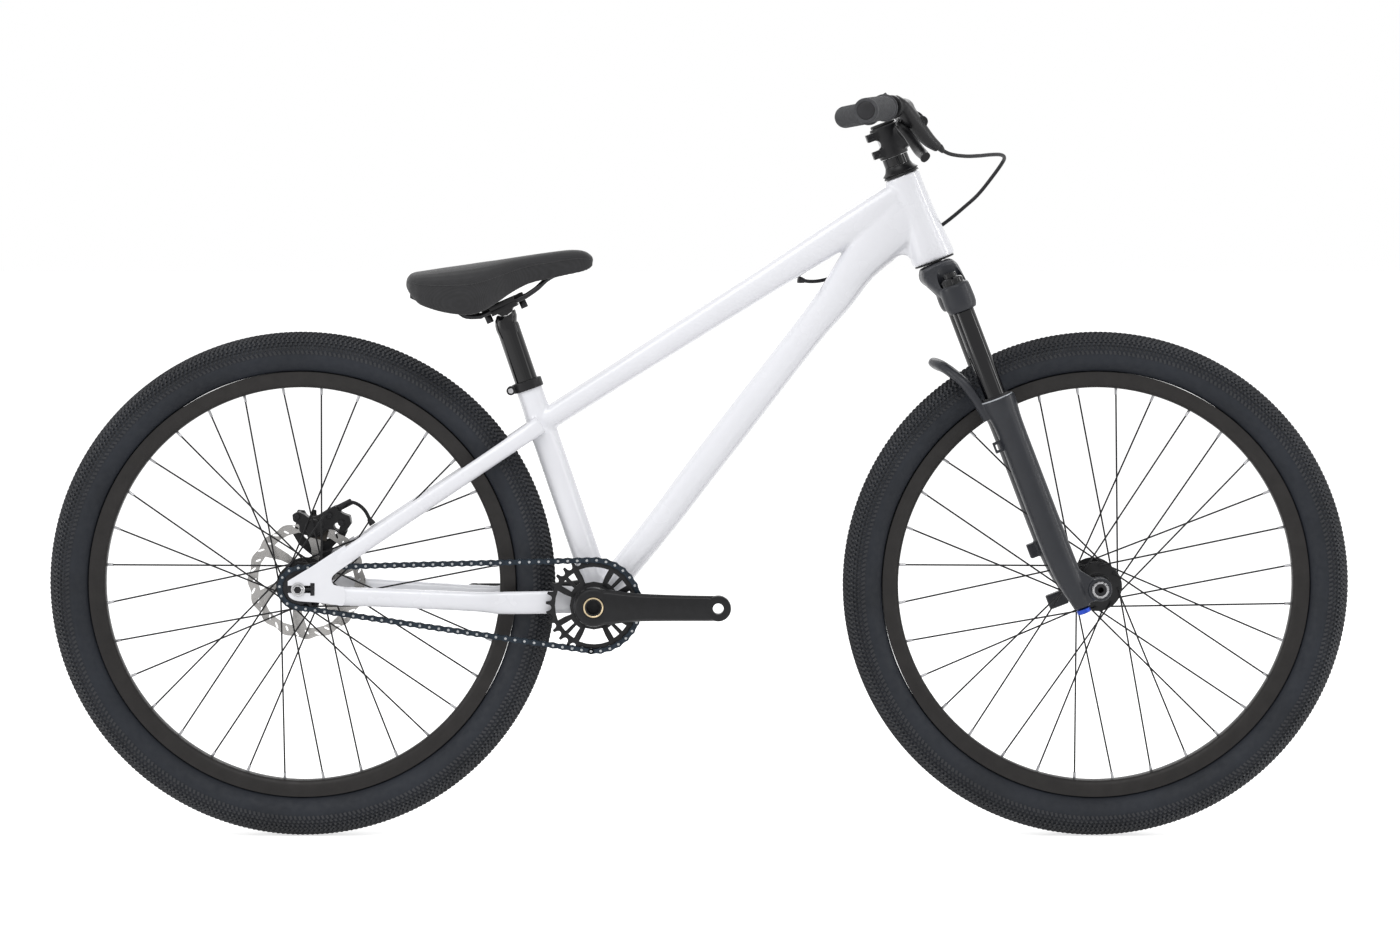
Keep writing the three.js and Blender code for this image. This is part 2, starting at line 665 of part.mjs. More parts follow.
function seatStayStations() {
  const sizes = seatStay
  const outer = dropout.inner + dropout.thickness / 2
  const top = onSeat(seatTubeLength - topTube.joinBelowTop - sizes.joinBelowTube)
  const low = rearCentre.clone().add(new THREE.Vector3(sizes.aheadOfAxle, 0, sizes.aboveAxle))
  const shares = [[0.02, 1, 0.7, 0.4], [0.12, 1, 0.84, 0.42], [0.2, 0.96, 0.88, 0.85], [0.4, 0.76, 0.88, 1],
    [0.615, 0.58, 0.88, 1], [0.793, 0.43, 0.88, 0.94], [0.92, 0.24, 0.92, 0.81], [1, 0, 1, 0.75]]
  return shares.map(([along, out, high, wide]) => {
    const at = low.clone().lerp(top, along)
    return [at.x, sizes.inner + (outer - sizes.inner) * out, at.z, sizes.height * high, sizes.width * wide]
  })
}

function topTubeStations() {
  const from = onSeat(seatTubeLength - topTube.joinBelowTop)
  const to = onHead(headTubeLength - topTube.joinBelowHeadTop)
  const heights = [[0, topTube.seatHeight], [0.43, topTube.midHeight], [0.76,
    topTube.headHeight - topTube.width / 20], [1, topTube.headHeight]]
  return heights.map(([share, height]) => {
    const at = from.clone().lerp(to, share)
    return [at.x, 0, at.z, height, topTube.width]
  })
}

// Past its bend the down tube deepens until it runs into the top tube, ahead of the head tube
function downTubeStations() {
  const from = new THREE.Vector3(bracketX, 0, bracketZ)
  const to = onHead(downTube.joinAboveHeadBottom)
  const along = to.clone().sub(from).normalize()
  const out = new THREE.Vector3(-along.z, 0, along.x)
  const between = (downTube.bendHeight + downTube.neckHeight) / 2
  const shares = [[0, 0, downTube.lowHeight], [0.4, 0.52, downTube.midHeight - clearance],
    [0.68, 0.88, downTube.midHeight], [0.78, 1, downTube.bendHeight], [0.85, 1.13, between],
    [0.92, 1.1, downTube.neckHeight], [1, 0.86, downTube.headHeight]]
  return shares.map(([share, bow, height]) => {
    const at = from.clone().lerp(to, share).addScaledVector(out, downTube.bow * bow)
    return [at.x, 0, at.z, height, downTube.width]
  })
}

// Outline round the axle, slot open to the rear, with a taller seat for the tensioner bar at its front
function dropoutOutline() {
  const tall = tensioner.barHeight / 2 + clearance
  const half = dropout.slotHeight / 2
  const barAt = dropout.slotFront - tensioner.barLength - 2 * clearance
  const rear = -dropout.rearReach
  const reach = 4 * dropout.rearReach
  const shares = [[0.1, 0.66], [0.46, 0.69], [0.7, 0.86], [1, 1.05], [1.02, 0.76], [0.81, 0.4], [0.91,
    0.15], [1.18, 0.02],
    [1.15, -0.3], [0.62, -0.33], [0.12, -0.28], [-0.05, -0.22]]
  const lift = 0.24
  const outer = shares.map(([x, z], i) => (i === 0 ? [reach * 0.2, reach * (z - lift)] : [reach * x,
    reach * z]))
  return [[rear, half], [rear, half + 0.6 * half], ...outer.slice(1, 12), [rear, -half - clearance],
    [rear, -half],
    [barAt, -half], [barAt, -tall], [dropout.slotFront, -tall], [dropout.slotFront, tall], [barAt, tall],
      [barAt, half]]
}

function frameGeometry() {
  const head = upright(turned([[0, 0], [headTube.bottomRadius, 0], [headTube.topRadius, headTubeLength],
    [0, headTubeLength]], frameSides))
  head.rotateY(-lean).translate(...headBottom)
  const seatTop = onSeat(seatTubeLength)
  const seat = tube([[...seatFoot, 2 * seatTube.lowerRadius, 2 * seatTube.lowerRadius],
    [...onSeat(seatTubeLength * 0.85), 2 * seatTube.lowerRadius, 2 * seatTube.lowerRadius],
    [...onSeat(seatTubeLength * 0.88), 2 * seatTube.upperRadius, 2 * seatTube.upperRadius],
    [...seatTop, 2 * seatTube.upperRadius, 2 * seatTube.upperRadius]], frameSides)
  const half = bottomBracket.width / 2
  const shell = disc(bottomBracket.radius, -half, half, 0, frameSides).translate(bracketX, 0, bracketZ)
  const low = smoothed(chainStayStations(), 8)
  const high = smoothed(seatStayStations(), 6)
  const stays = [low, mirrored(low), high, mirrored(high)].map((list) => tube(list, staySides, leftward,
    0.2))
  const [from, to] = [dropout.inner, dropout.inner + dropout.thickness]
  const ends = [[-to, -from], [from, to]].map(([a, b]) => plate(dropoutOutline(), a,
    b).translate(...rearCentre))
  const main = [shell, seat, tube(topTubeStations(), frameSides, leftward, 0.25),
    tube(downTubeStations(), frameSides, leftward, 0.2), head]
  const cores = [tube(thinned(topTubeStations(), tubeWall), frameSides, leftward, 0.25),
    tube(thinned(downTubeStations(), tubeWall), frameSides, leftward, 0.2)]
  const [lowBore, highBore] = [clearing(headTube.bottomBore, frameSides), clearing(headTube.topBore,
    frameSides)]
  const headBore = upright(turned([[0, -overrun], [lowBore, -overrun], [lowBore, 2 * headset.skirt],
    [highBore, headTubeLength - 2 * headset.skirt], [highBore, headTubeLength + overrun],
    [0, headTubeLength + overrun]], frameSides))
  const seatBore = rod(seatFoot.toArray(), onSeat(seatTubeLength + overrun).toArray(),
    clearing(seatTube.bore, frameSides), frameSides)
  const shellRadius = clearing(bottomBracket.bore, frameSides)
  const shellBore = disc(shellRadius, -half - overrun, half + overrun, 0, frameSides).translate(bracketX,
    0, bracketZ)
  const inner = dropout.inner
  const spacing = block(rearCentre.x - 2 * inner, rearCentre.x + inner, -inner, inner,
    rearCentre.z - inner, rearCentre.z + inner)
  const slot = [[-to - overrun, -from], [from, to + overrun]].map(([a, b]) => slotCut(a, b))
  const body = cutBy(joined([...main, ...stays, ...ends]), [spacing, ...slot])
  return geometryOf(cutBy(body, [headBore.rotateY(-lean).translate(...headBottom), seatBore, shellBore,
    ...cores]))
}

function slotCut(from, to) {
  const half = dropout.slotHeight / 2
  const tall = tensioner.barHeight / 2 + clearance
  const barAt = dropout.slotFront - tensioner.barLength - 2 * clearance
  const rear = -2 * dropout.rearReach
  return plate([[rear, -half], [barAt, -half], [barAt, -tall], [dropout.slotFront, -tall],
    [dropout.slotFront, tall], [barAt, tall],
    [barAt, half], [rear, half]], from, to).translate(...rearCentre)
}

function tensionerGeometry(side) {
  const [near, far] = [dropout.inner + clearance, dropout.inner + dropout.thickness - clearance]
  const to = dropout.slotFront - clearance
  const from = to - tensioner.barLength
  const half = tensioner.barHeight / 2
  const middle = side * (near + far) / 2
  const bar = block(from, to, side > 0 ? near : -far, side > 0 ? far : -near, -half, half)
  const start = rearAxle.radius + clearance
  const screw = rod([start, middle, 0], [from + clearance, middle, 0], tensioner.screwRadius, 8)
  return geometryOf(joined([bar, screw])).translate(...rearCentre)
}

// Brake caliper in a frame whose X runs along the rotor's edge and Z away from the axle
function caliperBody() {
  const middle = rotor.at + rotor.thickness / 2
  const low = rotor.radius - caliper.padRadial
  const half = caliper.length / 2
  const outer = low + caliper.radial
  const body = block(-half, half, middle - caliper.inside, middle + caliper.outside, low, outer)
  const gap = block(-half - overrun, half + overrun, middle - caliper.gap / 2, middle + caliper.gap / 2,
    low - overrun,
    rotor.radius + 2 * clearance)
  const ears = plate([[-half - caliper.gap, outer - caliper.gap], [half + caliper.gap,
    outer - caliper.gap], [half, outer], [-half, outer]],
    middle + caliper.gap, middle + caliper.outside)
  const padHalf = caliper.padLength / 2 + clearance
  const cavity = block(-padHalf, padHalf, middle - caliper.gap, middle + caliper.gap, low - overrun,
    rotor.radius + 2 * clearance)
  return geometryOf(cutBy(joined([body, ears]), [gap, cavity]))
}

function padGeometry(side) {
  const middle = rotor.at + rotor.thickness / 2
  const face = rotor.thickness / 2 + 2 * clearance
  const half = caliper.padLength / 2
  const [from, to] = [middle + side * face, middle + side * (face + caliper.padThickness)]
  return block(-half, half, Math.min(from, to), Math.max(from, to), rotor.radius - caliper.padRadial +
    clearance, rotor.radius)
}

function placeCaliper(geometry) {
  return geometry.rotateY(radians(90 - caliper.angle)).translate(...rearCentre)
}

// Bracket between the left dropout and the caliper, outside the rotor
function adapterGeometry() {
  const from = rotor.at + rotor.thickness + 2 * caliper.gap / 3
  const to = dropout.inner - clearance
  const r = rotor.radius
  const outline = [[-0.1, 0.16], [0.34, 0.3], [0.5, 0.45], [0.53, 0.6107], [-0.185, 0.789], [-0.22, 0.6],
    [-0.18, 0.4]]
  return plate(outline.map(([x, z]) => [x * r, z * r]), from, to).translate(...rearCentre)
}

function cord(points) {
  const route = new THREE.CatmullRomCurve3(points.map((p) => new THREE.Vector3(...p)))
  const count = Math.min(40, Math.round(route.getLength() / (6 * hose.radius)))
  const shape = new THREE.Shape(circle(hose.radius, hose.sides).map(([x, y]) => new THREE.Vector2(x, y)))
  return new THREE.ExtrudeGeometry(shape, { steps: count, extrudePath: route, bevelEnabled: false })
}

function buildFrame() {
  add(bike, 'frame', frameGeometry(), 'white')
  add(bike, 'tensioner_right', tensionerGeometry(-1), 'steel')
  add(bike, 'tensioner_left', tensionerGeometry(1), 'steel')
  add(bike, 'brake_caliper', placeCaliper(caliperBody()), 'satinBlack')
  add(bike, 'brake_pad_right', placeCaliper(padGeometry(-1)), 'steel')
  add(bike, 'brake_pad_left', placeCaliper(padGeometry(1)), 'steel')
}
buildFrame()

// Headset and steerer, about the steering axis
function cup(flangeRadius, skirtRadius, side) {
  const bore = clearing(steerer.radius + clearance, roundSegments)
  const outline = [[bore, clearance], [flangeRadius, clearance], [flangeRadius, clearance + headset.flange],
    [bore, clearance + headset.flange], [bore, -headset.skirt], [skirtRadius, -headset.skirt],
      [skirtRadius, clearance]]
  const ring = outline.filter((p, i) => i !== 0)
  return upright(turned(ring.map(([r, z]) => [r, z * side])))
}

const stemBottom = headTubeLength + headset.flange + headset.coverHeight + spacer.height + 4 * clearance
const stemTop = stemBottom + stem.height
const barHeight = stemTop - stem.barDrop
const crownTop = -headset.flange - 2 * clearance

function coverGeometry() {
  const from = headTubeLength + headset.flange + 2 * clearance
  const bore = steerer.radius + clearance
  const edge = headset.coverHeight / 4
  return upright(turned([[bore, from], [headset.upperRadius, from], [headset.upperRadius, from + edge],
    [headset.coverTopRadius, from + headset.coverHeight], [bore, from + headset.coverHeight]]))
}

function spacerGeometry() {
  const from = headTubeLength + headset.flange + headset.coverHeight + 3 * clearance
  return upright(disc(spacer.radius, from, from + spacer.height, steerer.radius + clearance))
}

function crownGeometry() {
  const { at, spread, radius } = stanchion
  const low = crownTop - crown.centreHeight / 2
  const [length, height] = [crown.centreLength, crown.centreHeight]
  const drop = crown.bottom - crown.clampHeight
  const row = (yShare, xShare, zShare, highShare, wideShare) => [at * xShare, spread * yShare,
    low - (drop + low) * zShare,
    height * highShare, length * wideShare]
  const half = [[0, -0.1, 0, 1, 1], [0.3, 0, 0.02, 1, 0.98], [0.62, 0.4, 0.35, 1.02, 0.86], [1, 1, 1,
    1.05, 0.7]]
  const rows = [...half.slice(1).reverse().map(([y, ...rest]) => row(-y, ...rest)), ...half.map((r) =>
    row(...r))]
  const bridge = tube(rows, 12, forward, 0.35)
  const clamps = [-1, 1].map((side) => upright(disc(crown.clampRadius, -crown.bottom,
    -drop)).translate(at, side * spread, 0))
  const bores = [-1, 1].map((side) => {
    const bore = clearing(radius + clearance, roundSegments)
    return upright(disc(bore, -crown.bottom - overrun, overrun)).translate(at, side * spread, 0)
  })
  const centre = upright(disc(clearing(steerer.radius + clearance, roundSegments), -crown.bottom, overrun))
  return geometryOf(cutBy(joined([bridge, ...clamps]), [...bores, centre]))
}

function steererGeometry() {
  const inner = steerer.radius - steerer.wall
  const bottom = crownTop - crown.centreHeight + clearance
  return upright(disc(steerer.radius, bottom, stemTop - clearance, inner))
}

const stanchionTop = -crown.bottom + crown.clampHeight - crown.pocket

function stanchionGeometry(side) {
  const bottom = -lowersTop - stanchion.insert
  const cap = wiper.height
  const inner = stanchion.radius - stanchion.wall
  const recess = stanchionTop - socket.depth
  const outline = [[inner, bottom], [stanchion.radius, bottom], [stanchion.radius, stanchionTop],
    [2 * socket.radius, stanchionTop],
    [2 * socket.radius, recess], [0, recess], [0, recess - cap], [inner, recess - cap]]
  return upright(turned(outline)).translate(stanchion.at, side * stanchion.spread, 0)
}

// Stem with two rear clamp ears, and its faceplate
function stemGeometry() {
  const middle = (stemBottom + stemTop) / 2
  const clampOuter = bar.clampRadius + bar.jaw
  const post = upright(disc(stem.clampRadius, stemBottom, stemTop))
  const neck = tube([[0, 0, middle, stem.height * 0.9, stem.earWidth * 1.1], [stem.reach * 0.5, 0,
    middle + clearance, stem.height * 0.82, stem.earWidth * 1.15],
    [stem.reach, 0, barHeight - clearance, 1.7 * clampOuter, 2 * bar.clampHalf * 0.9]], 12, leftward, 0.6)
  const jaw = disc(clampOuter, -bar.clampHalf * 0.9, bar.clampHalf * 0.9).translate(stem.reach, 0,
    barHeight)
  const ears = [0.12, 0.68].map((share) => {
    const from = stemBottom + stem.height * share
    return block(-stem.earReach, 0, -stem.earWidth / 2, stem.earWidth / 2, from - clearance, from +
      stem.earHeight)
  })
  const slot = block(-2 * stem.earReach, 0, -stem.earWidth / 20, stem.earWidth / 20,
    stemBottom - overrun, stemTop + overrun)
  const bore = upright(disc(clearing(steerer.radius + clearance, roundSegments), stemBottom - overrun,
    stemTop + overrun))
  const barBore = clearing(bar.clampRadius + clearance, roundSegments)
  const barHole = disc(barBore, -2 * bar.clampHalf, 2 * bar.clampHalf).translate(stem.reach, 0, barHeight)
  const front = block(stem.reach, 3 * stem.reach, -2 * bar.clampHalf, 2 * bar.clampHalf,
    barHeight - stem.height, barHeight + stem.height)
  return geometryOf(cutBy(joined([post, neck, jaw, ...ears]), [slot, bore, barHole, front]))
}

function faceplateGeometry() {
  const clampOuter = bar.clampRadius + bar.jaw
  const jaw = disc(clampOuter, -bar.clampHalf * 0.9, bar.clampHalf * 0.9).translate(stem.reach, 0,
    barHeight)
  const barBore = clearing(bar.clampRadius + clearance, roundSegments)
  const barHole = disc(barBore, -2 * bar.clampHalf, 2 * bar.clampHalf).translate(stem.reach, 0, barHeight)
  const back = stem.reach + clearance
  const rear = block(-stem.reach, back, -2 * bar.clampHalf, 2 * bar.clampHalf, barHeight - stem.height,
    barHeight + stem.height)
  return geometryOf(cutBy(solid(jaw), [barHole, rear]))
}

function stemCapGeometry() {
  const from = stemTop + clearance
  return upright(disc(stemCap.radius, from, from + stemCap.height))
}

// Handlebar in world directions about its clamp centre; rise and sweep as shares of the half width
const barShares = [[0, 0, 0, 1], [0.115, 0, 0, 1], [0.17, -0.006, 0.012, 0.86], [0.25, -0.024, 0.045, 0.7],
  [0.33, -0.042, 0.063, 0.7], [0.66, -0.12, 0.0525, 0.7], [1, -0.196, 0.0395, 0.7]]

function barPoint(share, side) {
  const i = barShares.findIndex(([at], k) => k > 0 && share <= at)
  const [a, b] = [barShares[i - 1], barShares[i]]
  const part = (share - a[0]) / (b[0] - a[0])
  const mix = (k) => (a[k] + (b[k] - a[k]) * part) * bar.halfWidth
  return new THREE.Vector3(mix(1), side * share * bar.halfWidth, mix(2))
}

function barGeometry() {
  const size = (share) => (share === 0.7 ? 2 * bar.gripRadius : 2 * bar.clampRadius * share)
  const half = barShares.map(([y, x, z, s]) => [x * bar.halfWidth, y * bar.halfWidth, z * bar.halfWidth,
    size(s), size(s)])
  const plug = (grip.flange + 2 * clearance) / bar.halfWidth
  half[half.length - 1] = [...barPoint(1 - plug, 1), size(0.7), size(0.7)]
  return tube([...half.slice(1).reverse().map(([x, y, ...rest]) => [x, -y, ...rest]), ...half],
    bar.sides, forward)
}

function gripGeometry(side) {
  const end = barPoint(1, side)
  const inward = barPoint(1 - grip.length / bar.halfWidth, side).sub(end).normalize()
  const bore = clearing(bar.gripRadius + clearance, roundSegments)
  const plug = grip.flange
  const body = turned([[0, 0], [grip.radius, 0], [grip.radius, grip.length - grip.flange],
    [grip.flangeRadius, grip.length - grip.flange],
    [grip.flangeRadius, grip.length], [bore, grip.length], [bore, plug], [0, plug]])
  return body.applyQuaternion(new THREE.Quaternion().setFromUnitVectors(leftward, inward)).translate(...end)
}

// Brake lever on the right of the bar, in the same frame
const leverBody = { fromEnd: 172.9, ring: 15.5, ringWidth: 14, start: 24, end: 19 }
const leverAxis = new THREE.Vector3(-0.66, 0, -0.75).normalize()
const pivot = { ahead: 13.27, inboard: 19.1, below: 23.34, eyeRadius: 7, pinRadius: 2.4, thickness: 6 }
const blade = { thickness: 6, height: 13, reachX: 26, reachY: 134, reachZ: 40 }

function leverPlace() {
  return barPoint(1 - leverBody.fromEnd / bar.halfWidth, -1)
}

function pivotPlace() {
  const at = leverPlace()
  return new THREE.Vector3(at.x + pivot.ahead, at.y + pivot.inboard, at.z - pivot.below)
}

function leverBodyGeometry() {
  const at = leverPlace()
  const along = barPoint(1.2 * (1 - leverBody.fromEnd / bar.halfWidth), -1).sub(at).normalize()
  const half = leverBody.ringWidth / 2
  const turn = new THREE.Quaternion().setFromUnitVectors(leftward, along.clone().negate())
  const ring = disc(leverBody.ring, -half, half).applyQuaternion(turn).translate(...at)
  const bore = disc(clearing(bar.gripRadius + clearance, roundSegments), -8 * half,
    8 * half).applyQuaternion(turn).translate(...at)
  const shares = [[0.3, 0.02, 0.25, 0.9], [0.55, 0.14, 0, 1], [1.15, 0.5, -0.85, 0.95], [1.9, 0.8, -1.75,
    0.86], [2.6, 1, -2.6, 0.8]]
  const reach = leverBody.start
  const rows = shares.map(([x, y, z, s]) => [at.x + reach * x, at.y + 2 * reach * y, at.z + reach * (z +
    0.5), leverBody.start * s, leverBody.start * s])
  const cylinder = tube(rows, 12, leftward)
  const back = pivotPlace()
  const from = back.clone().addScaledVector(leverAxis, pivot.thickness)
  const to = back.clone().addScaledVector(leverAxis, -pivot.thickness * 4)
  const pin = rod(from.toArray(), to.toArray(), pivot.pinRadius, 10)
  return geometryOf(cutBy(joined([cylinder, ring, pin]), [bore]))
}

function bladeGeometry() {
  const { x, y, z } = pivotPlace()
  const across = leverAxis.clone()
  const shares = [[0, 0, 0, 1], [0.35, -0.06, -0.3, 1], [0.8, -0.26, -0.76, 1.15], [1, -0.5, -0.94,
    1.05], [0.98, -0.78, -1, 1], [0.95, -1, -1.02, 1.1]]
  const rows = shares.map(([dx, dy, dz, s]) => [x + blade.reachX * dx, y + blade.reachY * dy, z +
    blade.reachZ * dz, blade.height * s * 0.7, blade.height * s])
  const arm = tube(rows, 8, across)
  const turn = new THREE.Quaternion().setFromUnitVectors(leftward, across)
  const half = pivot.thickness / 2
  const eye = disc(pivot.eyeRadius, -half, half).applyQuaternion(turn).translate(x, y, z)
  const hole = disc(clearing(pivot.pinRadius + clearance, roundSegments), -8 * half,
    8 * half).applyQuaternion(turn).translate(x, y, z)
  return geometryOf(cutBy(joined([arm, eye]), [hole]))
}

// Fork lowers: legs, axle lugs, reverse arch, brake mounts on the left
function lowersGeometry() {
  const { at, spread } = stanchion
  const depth = lowersBottom - lowersTop
  const shares = [[0, 0.15, 1.21], [0.05, 0.2, 1.18], [0.13, 0.3, 1.02], [0.34, 0.33, 1], [0.68, 0.36,
    1], [0.84, 0.55, 0.93], [0.95, 0.9, 0.75], [1, 0.9, 0.6]]
  const shift = lowers.legRadius / 2
  const legs = [-1, 1].map((side) => tube(shares.map(([z, x, r]) => [at + shift * x, side * spread,
    -lowersTop - depth * z,
    2 * lowers.legRadius * r, 2 * lowers.legRadius * r]), 10, leftward))
  const lugHalf = spread - hub.spanFront / 2
  const lugs = [-1, 1].map((side) => disc(lowers.lugRadius, side * spread - lugHalf, side * spread +
    lugHalf).translate(forkOffset, 0, -forkLength))
  const webReach = lowers.lugRadius
  const web = [[at, -forkLength + 3.2 * webReach], [at + 1.4 * webReach, -forkLength + 2.2 * webReach],
    [forkOffset, -forkLength + 0.8 * webReach],
    [forkOffset, -forkLength - 0.8 * webReach], [at + 0.9 * webReach, -lowersBottom + 0.2 * webReach]]
  const webs = [-1, 1].map((side) => plate(web, side * spread - lugHalf * 0.7, side * spread +
    lugHalf * 0.7))
  const rise = lowers.legRadius
  const archShares = [[-1.05, 1, -1.2, 1], [-1.35, 0.97, 0.5, 1], [-1.75, 0.88, 1.9, 0.9], [-2.5, 0.55,
    3.1, 0.95], [-2.95, 0, 3.5, 1.1]]
  const archRow = ([x, y, z, s], side) => [at + rise * x, side * spread * y, -lowersTop + rise * z,
    arch.height * s, arch.thickness]
  const bridge = [...archShares.slice(0, -1).map((r) => archRow(r, -1)), archRow(archShares.at(-1), 1),
    ...archShares.slice(0, -1).reverse().map((r) => archRow(r, 1))]
  const bow = tube(smoothed(bridge, 10), arch.sides, new THREE.Vector3(0.8, 0, 0.6), 0.3)
  const mounts = [lowersBottom - postMount.rise,
    lowersBottom - postMount.rise - postMount.step].map((z) => block(at - postMount.reach - clearance, at,
    spread - arch.thickness / 2, spread + arch.thickness / 2, -z - arch.height / 2, -z + arch.height / 2))
  const bore = clearing(stanchion.radius + clearance, roundSegments)
  const seal = clearing(wiper.radius + clearance, roundSegments)
  const boreEnd = -lowersTop - lowers.boreDepth
  const boreOutline = [[0, boreEnd], [bore, boreEnd], [bore, -lowersTop], [seal, -lowersTop],
    [seal, -lowersTop + wiper.height + 2 * clearance], [bore, lowers.travel - lowersTop], [0,
      lowers.travel - lowersTop]]
  const bores = [-1, 1].map((side) => upright(turned(boreOutline)).translate(at, side * spread, 0))
  const axleBore = disc(clearing(frontAxle.radius + clearance, roundSegments), -2 * spread,
    2 * spread).translate(forkOffset, 0, -forkLength)
  return geometryOf(cutBy(joined([...legs, ...lugs, ...webs, bow, ...mounts]), [...bores, axleBore]))
}

function wiperGeometry(side) {
  const from = -lowersTop + clearance
  const bore = clearing(stanchion.radius + clearance, roundSegments)
  return upright(disc(wiper.radius, from, from + wiper.height, bore)).translate(stanchion.at,
    side * stanchion.spread, 0)
}

function frontAxleGeometry() {
  const end = stanchion.spread + (stanchion.spread - hub.spanFront / 2) + clearance
  const { radius, capRadius, capDepth, boreRadius, boreDepth } = frontAxle
  return turned([[0, boreDepth - end], [boreRadius, boreDepth - end], [boreRadius, -end - capDepth],
    [capRadius, -end - capDepth],
    [capRadius, -end], [radius, -end], [radius, end - clearance], [0, end - clearance]])
}

function knobGeometry() {
  const shift = lowers.legRadius / 2
  const top = -lowersBottom - clearance
  return upright(disc(knob.radius, top - knob.height, top)).translate(stanchion.at + shift * 0.9,
    -stanchion.spread, 0)
}

function buildSteering() {
  const cockpit = new THREE.Group()
  cockpit.position.set(stem.reach, 0, barHeight)
  cockpit.rotation.y = lean
  steering.add(cockpit)
  const lower = cup(headset.lowerRadius, headTube.bottomBore - clearance, -1)
  const upper = cup(headset.upperRadius, headTube.topBore - clearance, 1).translate(0, 0, headTubeLength)
  add(steering, 'headset_lower', lower, 'satinBlack')
  add(steering, 'headset_upper', upper, 'satinBlack')
  add(steering, 'headset_cover', coverGeometry(), 'satinBlack')
  add(steering, 'spacer', spacerGeometry(), 'satinBlack')
  add(steering, 'fork_crown', crownGeometry(), 'slate')
  add(steering, 'steerer', steererGeometry(), 'steel')
  add(steering, 'stanchion_right', stanchionGeometry(-1), 'glossBlack')
  add(steering, 'stanchion_left', stanchionGeometry(1), 'glossBlack')
  add(steering, 'stem', stemGeometry(), 'satinBlack')
  add(steering, 'faceplate', faceplateGeometry(), 'satinBlack')
  add(steering, 'stem_cap', stemCapGeometry(), 'satinBlack')
  add(cockpit, 'handlebar', barGeometry(), 'satinBlack')
  add(cockpit, 'grip_right', gripGeometry(-1), 'rubber')
  add(cockpit, 'grip_left', gripGeometry(1), 'rubber')
  add(cockpit, 'lever_body', leverBodyGeometry(), 'satinBlack')
  add(cockpit, 'lever_blade', bladeGeometry(), 'satinBlack')
  add(steering, 'fork_lowers', lowersGeometry(), 'slate')
  add(steering, 'wiper_right', wiperGeometry(-1), 'satinBlack')
  add(steering, 'wiper_left', wiperGeometry(1), 'satinBlack')
  add(frontWheel, 'front_axle', frontAxleGeometry(), 'steel')
  add(steering, 'rebound_knob', knobGeometry(), 'blue')
}
buildSteering()

// Seat collar, post, rail clamp and saddle; the post's own frame has Z up the seat tube
const collarBottom = seatTubeLength - collar.below

function collarGeometry() {
  const inner = seatTube.upperRadius + clearance
  const outer = inner + collar.thickness
  const top = collarBottom + collar.height
  const ring = upright(disc(outer, collarBottom, top))
  const middle = collarBottom + collar.height / 2
  const reach = outer + collar.lugRadius / 2
  const halfWide = collar.lugWidth / 2
  const lug = disc(collar.lugRadius, -halfWide, halfWide).translate(-reach, 0, middle)
  const neck = block(-reach, -inner, -halfWide, halfWide, middle - collar.lugRadius * 0.8, middle +
    collar.lugRadius * 0.8)
  const slot = block(-2 * reach, 0, -collar.lugWidth / 12, collar.lugWidth / 12, collarBottom - overrun,
    top + overrun)
  const bore = upright(disc(clearing(inner, roundSegments), collarBottom - overrun, top + overrun))
  const hole = disc(clearing(collar.boltRadius + clearance, roundSegments), -2 * halfWide,
    2 * halfWide).translate(-reach, 0, middle)
  return geometryOf(cutBy(joined([ring, lug, neck]), [slot, bore, hole]))
}

function collarBoltGeometry() {
  const reach = seatTube.upperRadius + clearance + collar.thickness + collar.lugRadius / 2
  const half = collar.lugWidth / 2 + clearance
  const head = 1.7 * collar.boltRadius
  const outline = [[0, half], [collar.boltRadius, half], [collar.boltRadius, -half], [head, -half],
    [head, -half - collar.thickness],
    [0, -half - collar.thickness]]
  return turned(outline, 10).translate(-reach, 0, collarBottom + collar.height / 2)
}

function postGeometry() {
  const inner = post.radius - post.wall
  const body = upright(disc(post.radius, post.bottom, post.headBottom))
  const top = railClamp.up
  const width = post.headWidth
  const head = tube([[0, 0, post.headBottom - 2 * overrun, 1.6 * post.radius, 1.6 * post.radius], [0, 0,
    post.headBottom, 2 * post.radius, 2 * post.radius],
    [railClamp.along, 0, top - post.cradleRadius, post.headLength, width], [railClamp.along, 0,
      top - post.cradleRadius * 0.8, post.headLength, width]],
    12, leftward, 0.4)
  const core = upright(disc(inner, post.bottom - overrun, post.headBottom - overrun))
  const seat = disc(clearing(post.cradleRadius + clearance, roundSegments), -width,
    width).translate(railClamp.along, 0, top)
  return geometryOf(cutBy(joined([body, head]), [core, seat]))
}

// In the clamp's own frame: X along the rails, Z away from them, the tilt axis at the origin
const grooveRadius = clearing(rail.radius + clearance, rail.sides)
const clampWidth = 2 * (rail.spread + 2 * rail.radius)

function grooves() {
  return [-1, 1].map((side) => rod([-railClamp.length, side * rail.spread, 0], [railClamp.length,
    side * rail.spread, 0], grooveRadius, rail.sides))
}

function boltHoles() {
  const radius = clearing(railClamp.boltRadius + clearance, 10)
  return [-1, 1].map((end) => upright(disc(radius, -railClamp.length, railClamp.length, 0,
    10)).translate(end * railClamp.boltSpread, 0, 0))
}

